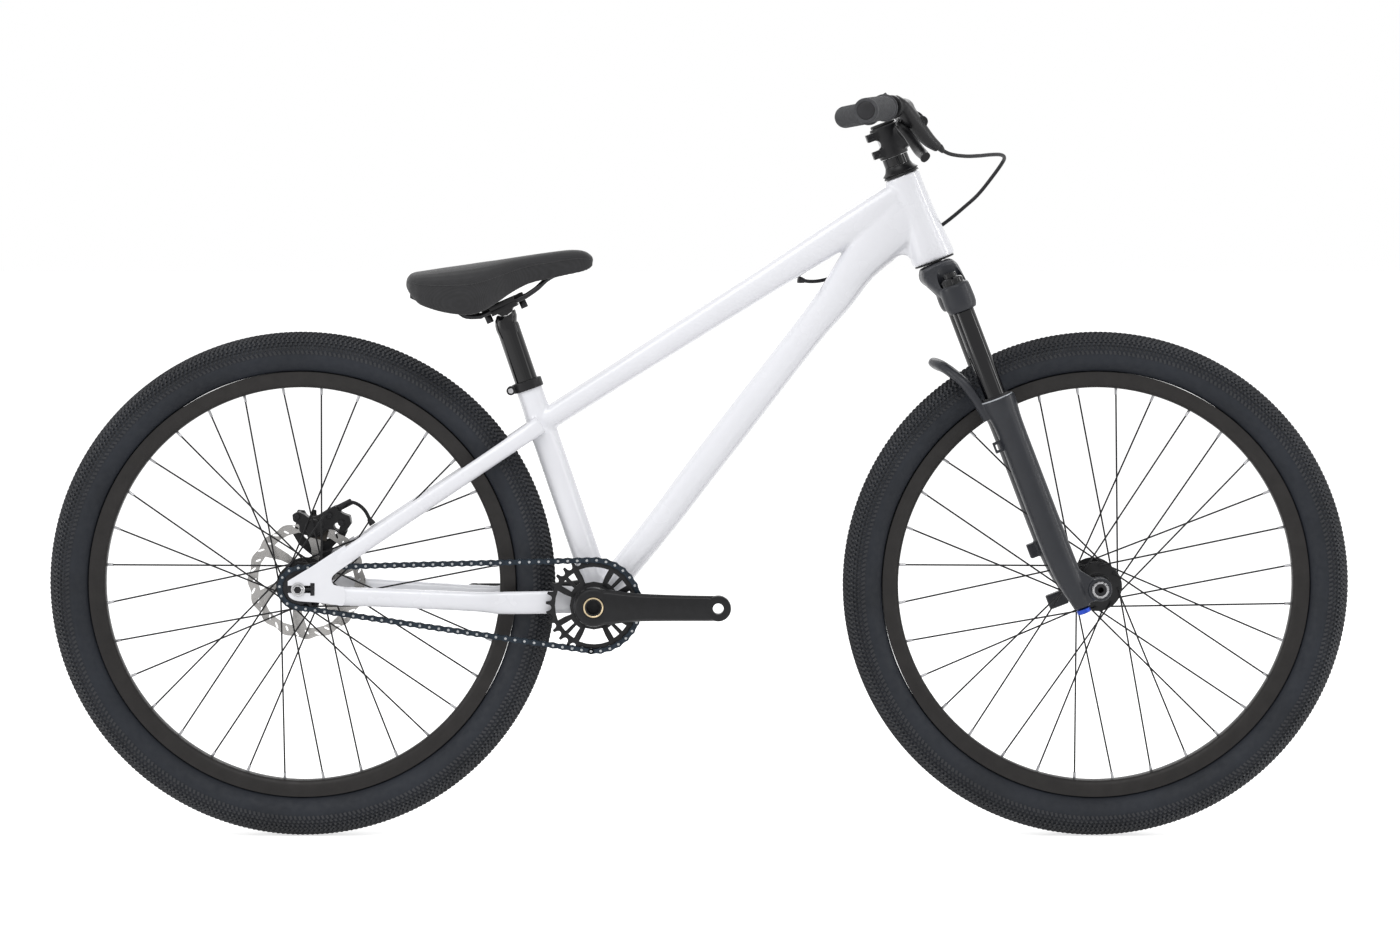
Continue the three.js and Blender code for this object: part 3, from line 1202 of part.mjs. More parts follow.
function cradleGeometry() {
  const half = railClamp.length / 2
  const barrel = disc(post.cradleRadius, -post.headWidth / 2, post.headWidth / 2).translate(0, 0, 0)
  const slab = block(-half, half, -clampWidth / 2, clampWidth / 2, -railClamp.plate, 0)
  const tongue = block(-railClamp.boltSpread - 2 * railClamp.boltRadius, railClamp.boltSpread +
    2 * railClamp.boltRadius, -railClamp.plate,
    railClamp.plate, -railClamp.plate / 2, 0)
  const above = block(-2 * half, 2 * half, -clampWidth, clampWidth, -clearance / 2, clampWidth)
  return geometryOf(cutBy(joined([barrel, slab, tongue]), [above, ...grooves(), ...boltHoles()]))
}

function upperClampGeometry() {
  const half = railClamp.length / 2
  const slab = block(-half, half, -clampWidth / 2, clampWidth / 2, clearance / 2, railClamp.plate)
  const tongue = block(-railClamp.boltSpread - 2 * railClamp.boltRadius, railClamp.boltSpread +
    2 * railClamp.boltRadius, -railClamp.plate,
    railClamp.plate, clearance / 2, railClamp.plate)
  return geometryOf(cutBy(joined([slab, tongue]), [...grooves(), ...boltHoles()]))
}

function clampBoltGeometry(end) {
  const top = railClamp.plate + clearance
  const low = -railClamp.plate / 2 - clearance
  const { boltRadius, nutRadius, nut } = railClamp
  const outline = [[0, low - nut], [nutRadius, low - nut], [nutRadius, low], [boltRadius, low],
    [boltRadius, top], [0, top]]
  return upright(turned(outline, 10)).translate(end * railClamp.boltSpread, 0, 0)
}

// Saddle in world directions about the tilt axis; rows run from the tail to the nose
const saddle = { tail: 128, nose: 119.5, halfWidth: 68, height: 76, low: -6.5, pad: 17, shell: 2.6 }

// x along, half width, edge height, crown height, underside height, as shares of length, width and height
const saddleShares = [[0, 0.42, 0.3, 0.46, 0.36], [0.02, 0.62, 0.22, 0.62, 0.4], [0.09, 0.86, 0.12,
  0.685, 0.45], [0.2, 0.97, 0.06, 0.715, 0.47],
  [0.32, 1, 0.01, 0.745, 0.49], [0.4, 0.93, 0.04, 0.77, 0.52], [0.48, 0.74, 0.16, 0.8, 0.55], [0.56,
    0.52, 0.33, 0.85, 0.58],
  [0.66, 0.39, 0.49, 0.91, 0.64], [0.78, 0.335, 0.58, 0.97, 0.72], [0.88, 0.31, 0.65, 1.02, 0.8], [0.95,
    0.26, 0.7, 1, 0.84],
  [0.99, 0.16, 0.76, 0.92, 0.84], [1, 0.06, 0.82, 0.87, 0.85]]

function saddleRow([alongShare, wideShare, edgeShare, crownShare, underShare]) {
  const x = -saddle.tail + (saddle.tail + saddle.nose) * alongShare
  const z = (share) => saddle.low + saddle.height * share
  return { x, half: saddle.halfWidth * wideShare, edge: z(edgeShare), crown: z(crownShare),
    under: z(underShare) }
}

function padRing(row) {
  const { x, half, edge, crown, under } = row
  const drop = crown - edge
  const over = [[0, 1], [0.35, 0.985], [0.66, 0.9], [0.87, 0.72], [0.97, 0.45], [1, 0.2], [0.95, 0]]
  const below = [[0.8, 0.02], [0.62, 1], [0, 1]]
  const points = over.map(([y, z]) => [half * y, edge + drop * z])
  points.push(...below.map(([y, z]) => [half * y, edge + Math.max(under - edge, clearance) * z]))
  const right = points.slice(1, -1).reverse().map(([y, z]) => [-y, z])
  return [...points, ...right].map(([y, z]) => new THREE.Vector3(x, y, z))
}

function padGeometrySaddle() {
  return loft(saddleShares.map((shares) => padRing(saddleRow(shares))))
}

// A thin shell that follows the underside of the pad
function shellGeometry() {
  const rows = saddleShares.slice(1, -1).map(saddleRow)
  const rings = rows.map(({ x, half, edge, under }) => {
    const top = under - 2 * clearance
    const flank = Math.max(edge + 2 * clearance, saddle.low + 2 * clearance)
    const low = x < saddle.shell ? Math.min(flank, top - saddle.shell) : top - saddle.shell
    const side = half * 0.6
    const points = [[0, top], [side - saddle.shell, top], [side, top - clearance * 2], [side, low],
      [side - saddle.shell, low],
      [side - 2 * saddle.shell, top - saddle.shell], [0, top - saddle.shell]]
    const mirror = points.slice(1, -1).reverse().map(([y, z]) => [-y, z])
    return [...points, ...mirror].map(([y, z]) => new THREE.Vector3(x, y, z))
  })
  return loft(rings)
}

// One wire: from the tail of the shell, along the clamp, up to the nose, and back on the other side
function railsGeometry() {
  const pitchRise = Math.tan(radians(rail.pitchAngle))
  const straight = railClamp.length * 0.85
  const half = [[-straight * 1.95, rail.spread * 1.5, -rail.tailDrop], [-straight * 1.6,
    rail.spread * 1.25, -rail.tailBendDrop], [-straight, rail.spread, -straight * pitchRise],
    [straight, rail.spread, straight * pitchRise], [straight * 1.45, rail.spread * 0.8, straight * 0.75],
    [straight * 1.85, rail.spread * 0.45, straight * 1.12], [straight * 2.2, rail.spread * 0.32,
      straight * 1.33], [straight * 2.45, 0, straight * 1.415]]
  const back = half.slice(0, -1).reverse().map(([x, y, z]) => [x, -y, z])
  const points = [...half, ...back].map(([x, y, z]) => [x, y, z, 2 * rail.radius, 2 * rail.radius])
  return wire(points)
}

// A round wire through given points, straight between them, rings turned without twist
function wire(points) {
  const centres = points.map(([x, y, z]) => new THREE.Vector3(x, y, z))
  const up = new THREE.Vector3(0, 0, 1)
  const rings = centres.map((centre, i) => {
    const along = centres[Math.min(i + 1, centres.length - 1)].clone().sub(centres[Math.max(i - 1,
      0)]).normalize()
    const high = up.clone().addScaledVector(along, -up.dot(along)).normalize()
    return oval(centre, along.clone().cross(high).negate(), high, rail.radius, rail.radius, rail.sides, 0)
  })
  return loft(rings)
}

function buildSeat() {
  const clampGroup = new THREE.Group()
  clampGroup.position.set(railClamp.along, 0, railClamp.up)
  clampGroup.rotation.y = seatLean - radians(rail.pitchAngle)
  const saddleGroup = new THREE.Group()
  saddleGroup.position.copy(clampGroup.position)
  saddleGroup.rotation.y = seatLean
  seatGroup.add(clampGroup, saddleGroup)
  add(seatGroup, 'seat_collar', collarGeometry(), 'satinBlack')
  add(seatGroup, 'collar_bolt', collarBoltGeometry(), 'steel')
  add(seatGroup, 'seatpost', postGeometry(), 'glossBlack')
  add(clampGroup, 'rail_cradle', cradleGeometry(), 'satinBlack')
  add(clampGroup, 'rail_clamp', upperClampGeometry(), 'satinBlack')
  add(clampGroup, 'clamp_bolt_front', clampBoltGeometry(1), 'steel')
  add(clampGroup, 'clamp_bolt_rear', clampBoltGeometry(-1), 'steel')
  add(saddleGroup, 'saddle_rails', railsGeometry(), 'satinBlack')
  add(saddleGroup, 'saddle_shell', shellGeometry(), 'satinBlack')
  add(saddleGroup, 'saddle_pad', padGeometrySaddle(), 'cloth')
}

// Brake hose, held by the bicycle: lever to the port under the top tube, and seat stay port to the caliper
const hoseFrontRoute = [[310.2, -158.8, 921.3], [314, -156.5, 917], [326, -151, 911.5], [345, -138, 909],
  [364, -120, 909.5],
  [381, -100, 911], [395, -80, 911], [401, -66, 907.5], [398.9, -52, 899.6], [386.3, -28, 879.6], [370.5,
    -4, 858],
  [352.9, 18, 840.6], [336.5, 33, 825.9], [318, 42, 812], [296, 44, 800], [272, 44, 788], [249.2, 42,
    774.5],
  [222.3, 38, 761], [195.3, 31, 751], [176.1, 22, 746.5], [160, 17, 743], [147, 13, 742.5], [137, 10,
    744.2], [132, 9, 745.3]]
const hoseRearRoute = [[-441.5, 65.4, 412.6], [-444.8, 65.2, 417.6], [-451, 64.5, 430], [-459, 62,
  438.5], [-468, 58, 443],
  [-477, 54, 442.5], [-484, 52, 436], [-487, 52, 429], [-488.2, 52, 423]]

function buildBrakeLine() {
  add(bike, 'brake_hose_front', cord(hoseFrontRoute), 'rubber')
  add(bike, 'brake_hose_rear', cord(hoseRearRoute), 'rubber')
  add(bike, 'caliper_bracket', adapterGeometry(), 'satinBlack')
}
buildSeat()
buildBrakeLine()

export default bike
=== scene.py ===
from math import asin, atan2, cos, hypot, pi, radians, sin

import bmesh
import bpy
from bpy.props import FloatProperty, FloatVectorProperty, IntProperty, PointerProperty
from mathutils import Matrix, Vector


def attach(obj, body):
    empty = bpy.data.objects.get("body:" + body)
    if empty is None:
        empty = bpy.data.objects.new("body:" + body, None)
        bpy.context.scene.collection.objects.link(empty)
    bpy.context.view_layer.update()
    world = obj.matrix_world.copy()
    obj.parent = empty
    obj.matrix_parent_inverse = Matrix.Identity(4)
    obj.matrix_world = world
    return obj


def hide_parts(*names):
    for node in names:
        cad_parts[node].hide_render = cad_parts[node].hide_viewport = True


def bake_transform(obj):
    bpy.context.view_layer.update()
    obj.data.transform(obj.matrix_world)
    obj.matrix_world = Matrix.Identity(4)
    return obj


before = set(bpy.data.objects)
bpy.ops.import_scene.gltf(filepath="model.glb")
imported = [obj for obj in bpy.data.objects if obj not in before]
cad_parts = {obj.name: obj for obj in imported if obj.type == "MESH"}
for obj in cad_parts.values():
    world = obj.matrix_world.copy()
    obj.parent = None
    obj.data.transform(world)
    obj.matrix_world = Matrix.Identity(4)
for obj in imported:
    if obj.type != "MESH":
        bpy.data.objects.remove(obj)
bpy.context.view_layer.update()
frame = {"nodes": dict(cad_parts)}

bl_info = {
    "name": "Dirt jump bike",
    "version": (1, 0, 0),
    "blender": (4, 5, 0),
    "location": "View3D > Sidebar > Bike",
    "description": "Builds the pieces and finishes of a dirt jump bike over its fixed frame",
    "category": "Object",
}

# Places in millimetres, as in the frame: X forward, Y to the left, Z up
MM = 0.001
REAR = Vector((-530, 0, 338))
FRONT = Vector((530, 0, 338))
BRACKET = Vector((-139.737, 0, 314))
HEAD_FOOT = Vector((312.922, 0, 770.963))
HEAD_UP = Vector((-0.358368, 0, 0.93358))
HEAD_OUT = Vector((0.93358, 0, 0.358368))
SEAT_FOOT = Vector((-129.737, 0, 314))
SEAT_UP = Vector((-0.322266, 0, 0.946649))
SEAT_OUT = Vector((0.946649, 0, 0.322266))
BAR_CENTRE = Vector((281.126, 0, 950.064))
TILT_AXIS = Vector((-260.496, 0, 710.515))
ACROSS = Vector((0, 1, 0))
FORWARD = Vector((1, 0, 0))
TO_Y = Matrix.Rotation(-pi / 2, 4, "X")


def basis(origin, out, side, up):
    """The matrix of a frame whose X, Y and Z are given."""
    rows = Matrix((out, side, up)).transposed().to_4x4()
    return Matrix.Translation(origin) @ rows


def facing(side, origin=(0, 0, 0)):
    """A place whose Z points out to one side of the bike: -1 is right, 1 is left."""
    return basis(Vector(origin), FORWARD, Vector((0, 0, -side)), ACROSS * side)


HEAD = basis(HEAD_FOOT, HEAD_OUT, ACROSS, HEAD_UP)
SEAT = basis(SEAT_FOOT, SEAT_OUT, ACROSS, SEAT_UP)
SADDLE = Matrix.Translation(TILT_AXIS)
COCKPIT = Matrix.Translation(BAR_CENTRE)
DRIVE = Matrix.Translation(BRACKET)
AT_REAR = Matrix.Translation(REAR)
AT_FRONT = Matrix.Translation(FRONT)
WHEELS = (("front", FRONT), ("rear", REAR))

# In the frame of the head tube: the fork's legs, and the seat of the bar in the stem
LEG_OUT, LEG_SIDE = 9.3, 65
BAR_SEAT = Matrix.Translation((34.5, 0, 178.6))

# Drive: teeth and pitch radii, the chain's pitch and middle plane, and the length from rear axle to bracket
RING_TEETH, COG_TEETH = 30, 13
RING_RADIUS, COG_RADIUS = 60.75, 26.54
PITCH, CHAIN_SIDE, STAY = 12.7, -49, 391
CHAIN_TILT = asin((REAR.z - BRACKET.z) / STAY)
DRIVE_TILTED = DRIVE @ Matrix.Rotation(CHAIN_TILT, 4, "Y")


# ---------------------------------------------------------------- sizes and colours

class WheelSizes(bpy.types.PropertyGroup):
    tread_repeats: IntProperty(name="Tread repeats", description="Rows of tread blocks round a tyre",
                               default=320, min=60, max=400)
    tread_depth: FloatProperty(name="Tread depth", description="Height of a tread block, in millimetres",
                               default=2.3, min=0.5, max=4)
    spoke_radius: FloatProperty(name="Spoke radius", description="Radius of a spoke, in millimetres",
                                default=1.15, min=0.6, max=1.5)
    nipple_length: FloatProperty(name="Nipple length",
                                 description="Length of a spoke nipple outside the rim, in millimetres",
                                 default=9, min=4, max=16)


class FrameSizes(bpy.types.PropertyGroup):
    voxel: FloatProperty(name="Frame voxel", description="Grain of the merged frame tubes, in millimetres",
                         default=2.1, min=1.5, max=4)
    weld_passes: IntProperty(name="Weld passes", description="Smoothing passes over the welded joints",
                             default=7, min=0, max=20)
    cast_voxel: FloatProperty(name="Casting voxel", description="Grain of the fork's castings, in millimetres",
                              default=1.5, min=1, max=3)


class BikeColours(bpy.types.PropertyGroup):
    frame: FloatVectorProperty(name="Frame", description="Paint of the frame", subtype="COLOR",
                               default=(0.8, 0.805, 0.845), min=0, max=1)
    fork: FloatVectorProperty(name="Fork", description="Paint of the fork castings", subtype="COLOR",
                              default=(0.016, 0.0175, 0.0225), min=0, max=1)
    tyre: FloatVectorProperty(name="Tyre", description="Rubber of the tyres", subtype="COLOR",
                              default=(0.0105, 0.0125, 0.017), min=0, max=1)
    # Tread is partly painted light: the tyre's rubber made lighter on the blocks, a painted highlight, so the
    # darker casing between them reads as painted shade in the grooves
    tread: FloatVectorProperty(name="Tread", description="Rubber of the tread blocks", subtype="COLOR",
                               default=(0.024, 0.025, 0.028), min=0, max=1)
    rim: FloatVectorProperty(name="Rim", description="Finish of the rims", subtype="COLOR",
                             default=(0.018, 0.0165, 0.016), min=0, max=1)
    metal: FloatVectorProperty(name="Black metal", description="Anodised black parts", subtype="COLOR",
                               default=(0.007, 0.007, 0.008), min=0, max=1)
    knob: FloatVectorProperty(name="Knob", description="Anodised adjuster knob", subtype="COLOR",
                              default=(0.02, 0.06, 0.42), min=0, max=1)
    saddle: FloatVectorProperty(name="Saddle", description="Cloth of the saddle", subtype="COLOR",
                                default=(0.0075, 0.0075, 0.0085), min=0, max=1)


# ---------------------------------------------------------------- shapes in millimetres

def head_point(height):
    """A point on the axis of the head tube."""
    return HEAD @ Vector((0, 0, height))


def seat_point(height):
    """A point on the axis of the seat tube."""
    return SEAT @ Vector((0, 0, height))


def smooth_route(rows, steps):
    """Rows of numbers along a smooth curve through the given rows."""
    made = []
    last = len(rows) - 1
    for i in range(steps + 1):
        t = i / steps * last
        k = min(int(t), last - 1)
        u = t - k
        near = rows[max(k - 1, 0)], rows[k], rows[k + 1], rows[min(k + 2, last)]
        made.append([0.5 * (2 * q + (r - p) * u + (2 * p - 5 * q + 4 * r - s) * u * u
                            + (3 * q - p - 3 * r + s) * u ** 3) for p, q, r, s in zip(*near)])
    return made


def lathe(bm, profile, place=None, steps=48, closed=False):
    """Spins a profile of (radius, height) about the Z of place."""
    verts = [bm.verts.new((r, 0, h)) for r, h in profile]
    pairs = list(zip(verts, verts[1:])) + ([(verts[-1], verts[0])] if closed else [])
    edges = [bm.edges.new(pair) for pair in pairs]
    before = set(bm.verts) - set(verts)
    bmesh.ops.spin(bm, geom=verts + edges, cent=(0, 0, 0), axis=(0, 0, 1), angle=2 * pi, steps=steps,
                   use_merge=True)
    made = [v for v in bm.verts if v not in before]
    bmesh.ops.remove_doubles(bm, verts=made, dist=1e-4)
    made = [v for v in bm.verts if v not in before]
    inside = set(made)
    bmesh.ops.recalc_face_normals(bm, faces=[f for f in bm.faces if f.verts[0] in inside])
    if place is not None:
        bmesh.ops.transform(bm, matrix=place, verts=made)


def cylinder(bm, radius, low, high, place=None, steps=48):
    """A plain cylinder about the Z of place, between two heights."""
    lathe(bm, [(0, low), (radius, low), (radius, high), (0, high)], place, steps)


def chamfered(radius, low, high, cut, rise=None):
    """Profile of a cylinder with its corners cut; rise is the cut's height where it isn't its width."""
    rise = rise or cut
    return [(0, low), (radius - cut, low), (radius, low + rise), (radius, high - rise), (radius - cut, high),
            (0, high)]


def sweep(bm, stations, sides=32, across=ACROSS, square=0.0):
    """A tube of changing oval section through stations of (x, y, z, height, width)."""
    centres = [Vector(row[:3]) for row in stations]
    ring, edges, last, made = None, None, None, []
    for i, row in enumerate(stations):
        along = (centres[min(i + 1, len(centres) - 1)] - centres[max(i - 1, 0)]).normalized()
        wide = (across - along * across.dot(along)).normalized()
        size = Matrix.Diagonal((row[3] / 2, row[4] / 2, 1, 1))
        place = basis(centres[i], wide.cross(along), wide, along) @ size
        if ring is None:
            ring = bmesh.ops.create_circle(bm, cap_ends=False, segments=sides, radius=1)["verts"]
            for v in ring:
                v.co *= 1 - square + square / max(abs(v.co.x), abs(v.co.y))
            edges = list(dict.fromkeys(e for v in ring for e in v.link_edges))
            bmesh.ops.transform(bm, matrix=place, verts=ring)
            bmesh.ops.contextual_create(bm, geom=edges)
        else:
            new = bmesh.ops.extrude_edge_only(bm, edges=edges)["geom"]
            ring = [g for g in new if isinstance(g, bmesh.types.BMVert)]
            edges = [g for g in new if isinstance(g, bmesh.types.BMEdge)]
            bmesh.ops.transform(bm, matrix=place @ last.inverted(), verts=ring)
        last = place
        made += ring
    bmesh.ops.contextual_create(bm, geom=edges)
    inside = set(made)
    bmesh.ops.recalc_face_normals(bm, faces=[f for f in bm.faces if f.verts[0] in inside])


def rod(bm, start, end, radius, sides=24):
    """A round bar between two points."""
    a, b = Vector(start), Vector(end)
    across = ACROSS if abs((b - a).normalized().y) < 0.9 else FORWARD
    sweep(bm, [(*a, 2 * radius, 2 * radius), (*b, 2 * radius, 2 * radius)], sides, across)


def plate(bm, outline, low, high, place=None):
    """A flat plate whose outline lies in X and Z, from Y low to Y high."""
    verts = [bm.verts.new((x, low, z)) for x, z in outline]
    face = bm.faces.new(verts)
    new = bmesh.ops.extrude_face_region(bm, geom=[face])["geom"]
    top = [g for g in new if isinstance(g, bmesh.types.BMVert)]
    bmesh.ops.translate(bm, vec=(0, high - low, 0), verts=top)
    made = verts + top
    bmesh.ops.recalc_face_normals(bm, faces=list(dict.fromkeys(f for v in made for f in v.link_faces)))
    if place is not None:
        bmesh.ops.transform(bm, matrix=place, verts=made)


def box(bm, low, high, place=None):
    """A block between two corners."""
    low, high = Vector(low), Vector(high)
    shape = Matrix.Translation((low + high) / 2) @ Matrix.Diagonal((*(high - low), 1))
    made = bmesh.ops.create_cube(bm, size=1, matrix=shape)["verts"]
    if place is not None:
        bmesh.ops.transform(bm, matrix=place, verts=made)


def polar(radius, angle):
    """A point of a flat outline, by its distance and angle."""
    return radius * cos(angle), radius * sin(angle)


def repeat_round(bm, count, axis=(0, 0, 1)):
    """Copies everything round an axis through the origin, in two rounds because that is quicker."""
    few = next(n for n in range(int(count ** 0.5), 0, -1) if count % n == 0)
    for copies, turn in ((few, 2 * pi / count), (count // few, 2 * pi * few / count)):
        if copies > 1:
            geom = list(bm.verts) + list(bm.edges) + list(bm.faces)
            bmesh.ops.spin(bm, geom=geom, cent=(0, 0, 0), axis=axis, angle=turn * (copies - 1),
                           steps=copies - 1, use_duplicate=True)


def placed(bm, matrix):
    """Moves everything drawn so far."""
    bmesh.ops.transform(bm, matrix=matrix, verts=list(bm.verts))


def drawn(bm, name):
    """A mesh object, in metres, of what was drawn in millimetres."""
    bmesh.ops.scale(bm, vec=(MM, MM, MM), verts=list(bm.verts))
    mesh = bpy.data.meshes.new(name)
    bm.to_mesh(mesh)
    bm.free()
    obj = bpy.data.objects.new(name, mesh)
    bpy.context.scene.collection.objects.link(obj)
    return obj


def turned(name, profile, place, steps=48, closed=True):
    """A mesh object of one profile spun about the Z of place."""
    bm = bmesh.new()
    lathe(bm, profile, place, steps, closed)
    return drawn(bm, name)


def settled(obj):
    """The object with its modifiers applied."""
    graph = bpy.context.evaluated_depsgraph_get()
    mesh = bpy.data.meshes.new_from_object(obj.evaluated_get(graph), depsgraph=graph)
    obj.modifiers.clear()
    old, obj.data = obj.data, mesh
    bpy.data.meshes.remove(old)
    mesh.name = obj.name
    return obj


def cast(obj, voxel, passes, cutter=None):
    """Merges overlapping shapes into one skin with soft joints, then cuts the bores."""
    remesh = obj.modifiers.new("Skin", "REMESH")
    remesh.mode = "VOXEL"
    remesh.voxel_size = voxel * MM
    remesh.use_smooth_shade = True
    if passes:
        soften = obj.modifiers.new("Soften", "SMOOTH")
        soften.factor = 0.5
        soften.iterations = passes
    settled(obj)
    return carve(obj, cutter) if cutter else obj


def carve(obj, cutter, overlapping=True):
    """Cuts one object out of another; either may be several shapes that overlap."""
    cut = obj.modifiers.new("Cut", "BOOLEAN")
    cut.operation = "DIFFERENCE"
    cut.solver = "EXACT"
    cut.use_self = overlapping
    cut.object = cutter
    settled(obj)
    bpy.data.objects.remove(cutter)
    return obj


# The finishes by their short names; each piece takes one of them as its material
PAINT = {}


def piece(obj, body, paint, stands_for=(), bevel=0.0, segments=2, sharp=32, bend=None):
    """Finishes a piece: rounded edges, smooth faces, finish, body and material slot.

    The slot is the one of its finish. A piece given bend is left unattached, its place baked into its mesh;
    the second body and the two ends that bend holds are not used.
    """
    if bevel:
        rounded = obj.modifiers.new("Rounded edges", "BEVEL")
        rounded.width = bevel * MM
        rounded.segments = segments
        rounded.limit_method = "ANGLE"
        rounded.angle_limit = radians(sharp)
        rounded.use_clamp_overlap = True
        settled(obj)
    obj.data.shade_smooth()
    obj.data.set_sharp_from_angle(angle=radians(sharp))
    obj.data.materials.clear()
    obj.data.materials.append(PAINT[paint])
    if bend:
        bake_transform(obj)
    else:
        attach(obj, body)
    if stands_for:
        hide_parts(*stands_for)
    return obj


# ---------------------------------------------------------------- finishes

def shader(name):
    """A new material with its nodes, its shader and its object coordinates."""
    material = bpy.data.materials.new(name)
    material.use_nodes = True
    nodes, links = material.node_tree.nodes, material.node_tree.links
    surface = nodes["Principled BSDF"]
    coords = nodes.new("ShaderNodeTexCoord")
    return material, nodes, links, surface, coords


def worked(nodes, links, operation, *values):
    """The result of a Math node on numbers and other nodes' results."""
    node = nodes.new("ShaderNodeMath")
    node.operation = operation
    for socket, value in zip(node.inputs, values):
        if isinstance(value, (int, float)):
            socket.default_value = value
        else:
            links.new(value, socket)
    return node.outputs["Value"]


def grain(nodes, links, coords, scale, detail):
    """A noise on object coordinates."""
    noise = nodes.new("ShaderNodeTexNoise")
    noise.inputs["Scale"].default_value = scale
    noise.inputs["Detail"].default_value = detail
    links.new(coords.outputs["Object"], noise.inputs["Vector"])
    return noise.outputs["Fac"]


def ranged(nodes, links, source, low, high, start=0.3, end=0.7):
    """A value between low and high from a noise."""
    node = nodes.new("ShaderNodeMapRange")
    node.inputs["From Min"].default_value = start
    node.inputs["From Max"].default_value = end
    node.inputs["To Min"].default_value = low
    node.inputs["To Max"].default_value = high
    links.new(source, node.inputs["Value"])
    return node.outputs["Result"]


def tinted(nodes, links, factor, first, second):
    """A colour between two, by a factor."""
    mix = nodes.new("ShaderNodeMix")
    mix.data_type = "RGBA"
    mix.inputs["A"].default_value = (*first, 1)
    mix.inputs["B"].default_value = (*second, 1)
    links.new(factor, mix.inputs["Factor"])
    return mix.outputs["Result"]


def bumped(nodes, links, surface, height, strength, distance=0.0004):
    """Fine relief on a surface, its distance in metres."""
    bump = nodes.new("ShaderNodeBump")
    bump.inputs["Strength"].default_value = strength
    bump.inputs["Distance"].default_value = distance
    links.new(height, bump.inputs["Height"])
    links.new(bump.outputs["Normal"], surface.inputs["Normal"])


def coated(name, colour, rough, metallic=0.0, spread=0.12, scale=60, bump=0.05, bump_scale=900, coat=0.0,
           rough_spread=0.06, specular=0.5):
    """Paint, anodising, moulded plastic or drawn metal, by its numbers."""
    material, nodes, links, surface, coords = shader(name)
    cloud = grain(nodes, links, coords, scale, 4)
    darker = tuple(c * (1 - spread) for c in colour)
    lighter = tuple(min(1, c * (1 + spread)) for c in colour)
    links.new(tinted(nodes, links, ranged(nodes, links, cloud, 0, 1), darker, lighter),
              surface.inputs["Base Color"])
    fine = grain(nodes, links, coords, scale * 3, 2)
    links.new(ranged(nodes, links, fine, rough - rough_spread, rough + rough_spread),
              surface.inputs["Roughness"])
    surface.inputs["Metallic"].default_value = metallic
    surface.inputs["Coat Weight"].default_value = coat
    surface.inputs["Coat Roughness"].default_value = 0.05
    surface.inputs["Specular IOR Level"].default_value = specular
    if bump:
        bumped(nodes, links, surface, grain(nodes, links, coords, bump_scale, 2), bump)
    return material


def from_centre(nodes, links, coords, centre):
    """Object coordinates counted from a centre in millimetres."""
    mapping = nodes.new("ShaderNodeMapping")
    mapping.inputs["Location"].default_value = tuple(-c * MM for c in centre)
    links.new(coords.outputs["Object"], mapping.inputs["Vector"])
    return mapping.outputs["Vector"]


# Phase of the moulded rings of a tyre's sidewall, in radians for each metre from the axle
RING_WAVES = 4200


def tyre_rubber(name, colour, centre):
    """Rubber whose sidewall has fine moulded rings round the axle."""
    material, nodes, links, surface, coords = shader(name)
    split = nodes.new("ShaderNodeSeparateXYZ")
    links.new(from_centre(nodes, links, coords, centre), split.inputs["Vector"])
    flat = nodes.new("ShaderNodeCombineXYZ")
    links.new(split.outputs["X"], flat.inputs["X"])
    links.new(split.outputs["Z"], flat.inputs["Z"])
    far = nodes.new("ShaderNodeVectorMath")
    far.operation = "LENGTH"
    links.new(flat.outputs["Vector"], far.inputs[0])
    waves = worked(nodes, links, "SINE", worked(nodes, links, "MULTIPLY", far.outputs["Value"], RING_WAVES))
    cloud = grain(nodes, links, coords, 14, 5)
    lighter = tuple(c * 1.5 for c in colour)
    links.new(tinted(nodes, links, ranged(nodes, links, cloud, 0, 1), colour, lighter),
              surface.inputs["Base Color"])
    links.new(ranged(nodes, links, grain(nodes, links, coords, 120, 3), 0.5, 0.68), surface.inputs["Roughness"])
    surface.inputs["Specular IOR Level"].default_value = 0.28
    height = worked(nodes, links, "MULTIPLY_ADD", waves, 0.25, grain(nodes, links, coords, 1400, 2))
    bumped(nodes, links, surface, height, 0.35, 0.00015)
    return material


def saddle_cloth(name, colour):
    """Close woven cloth with a slight sheen."""
    material, nodes, links, surface, coords = shader(name)
    weave = []
    for direction in ("X", "Y"):
        wave = nodes.new("ShaderNodeTexWave")
        wave.bands_direction = direction
        wave.inputs["Scale"].default_value = 260
        wave.inputs["Distortion"].default_value = 1.2
        wave.inputs["Detail"].default_value = 1
        links.new(coords.outputs["Object"], wave.inputs["Vector"])
        weave.append(wave.outputs["Fac"])
    cross = worked(nodes, links, "MULTIPLY", *weave)
    shade = worked(nodes, links, "MULTIPLY_ADD", cross, 0.5, grain(nodes, links, coords, 90, 5))
    lighter = tuple(c * 2.4 for c in colour)
    links.new(tinted(nodes, links, ranged(nodes, links, shade, 0, 1, 0.35, 1.1), colour, lighter),
              surface.inputs["Base Color"])
    surface.inputs["Roughness"].default_value = 0.86
    surface.inputs["Sheen Weight"].default_value = 0.25
    surface.inputs["Sheen Roughness"].default_value = 0.5
    bumped(nodes, links, surface, cross, 0.55, 0.0003)
    return material


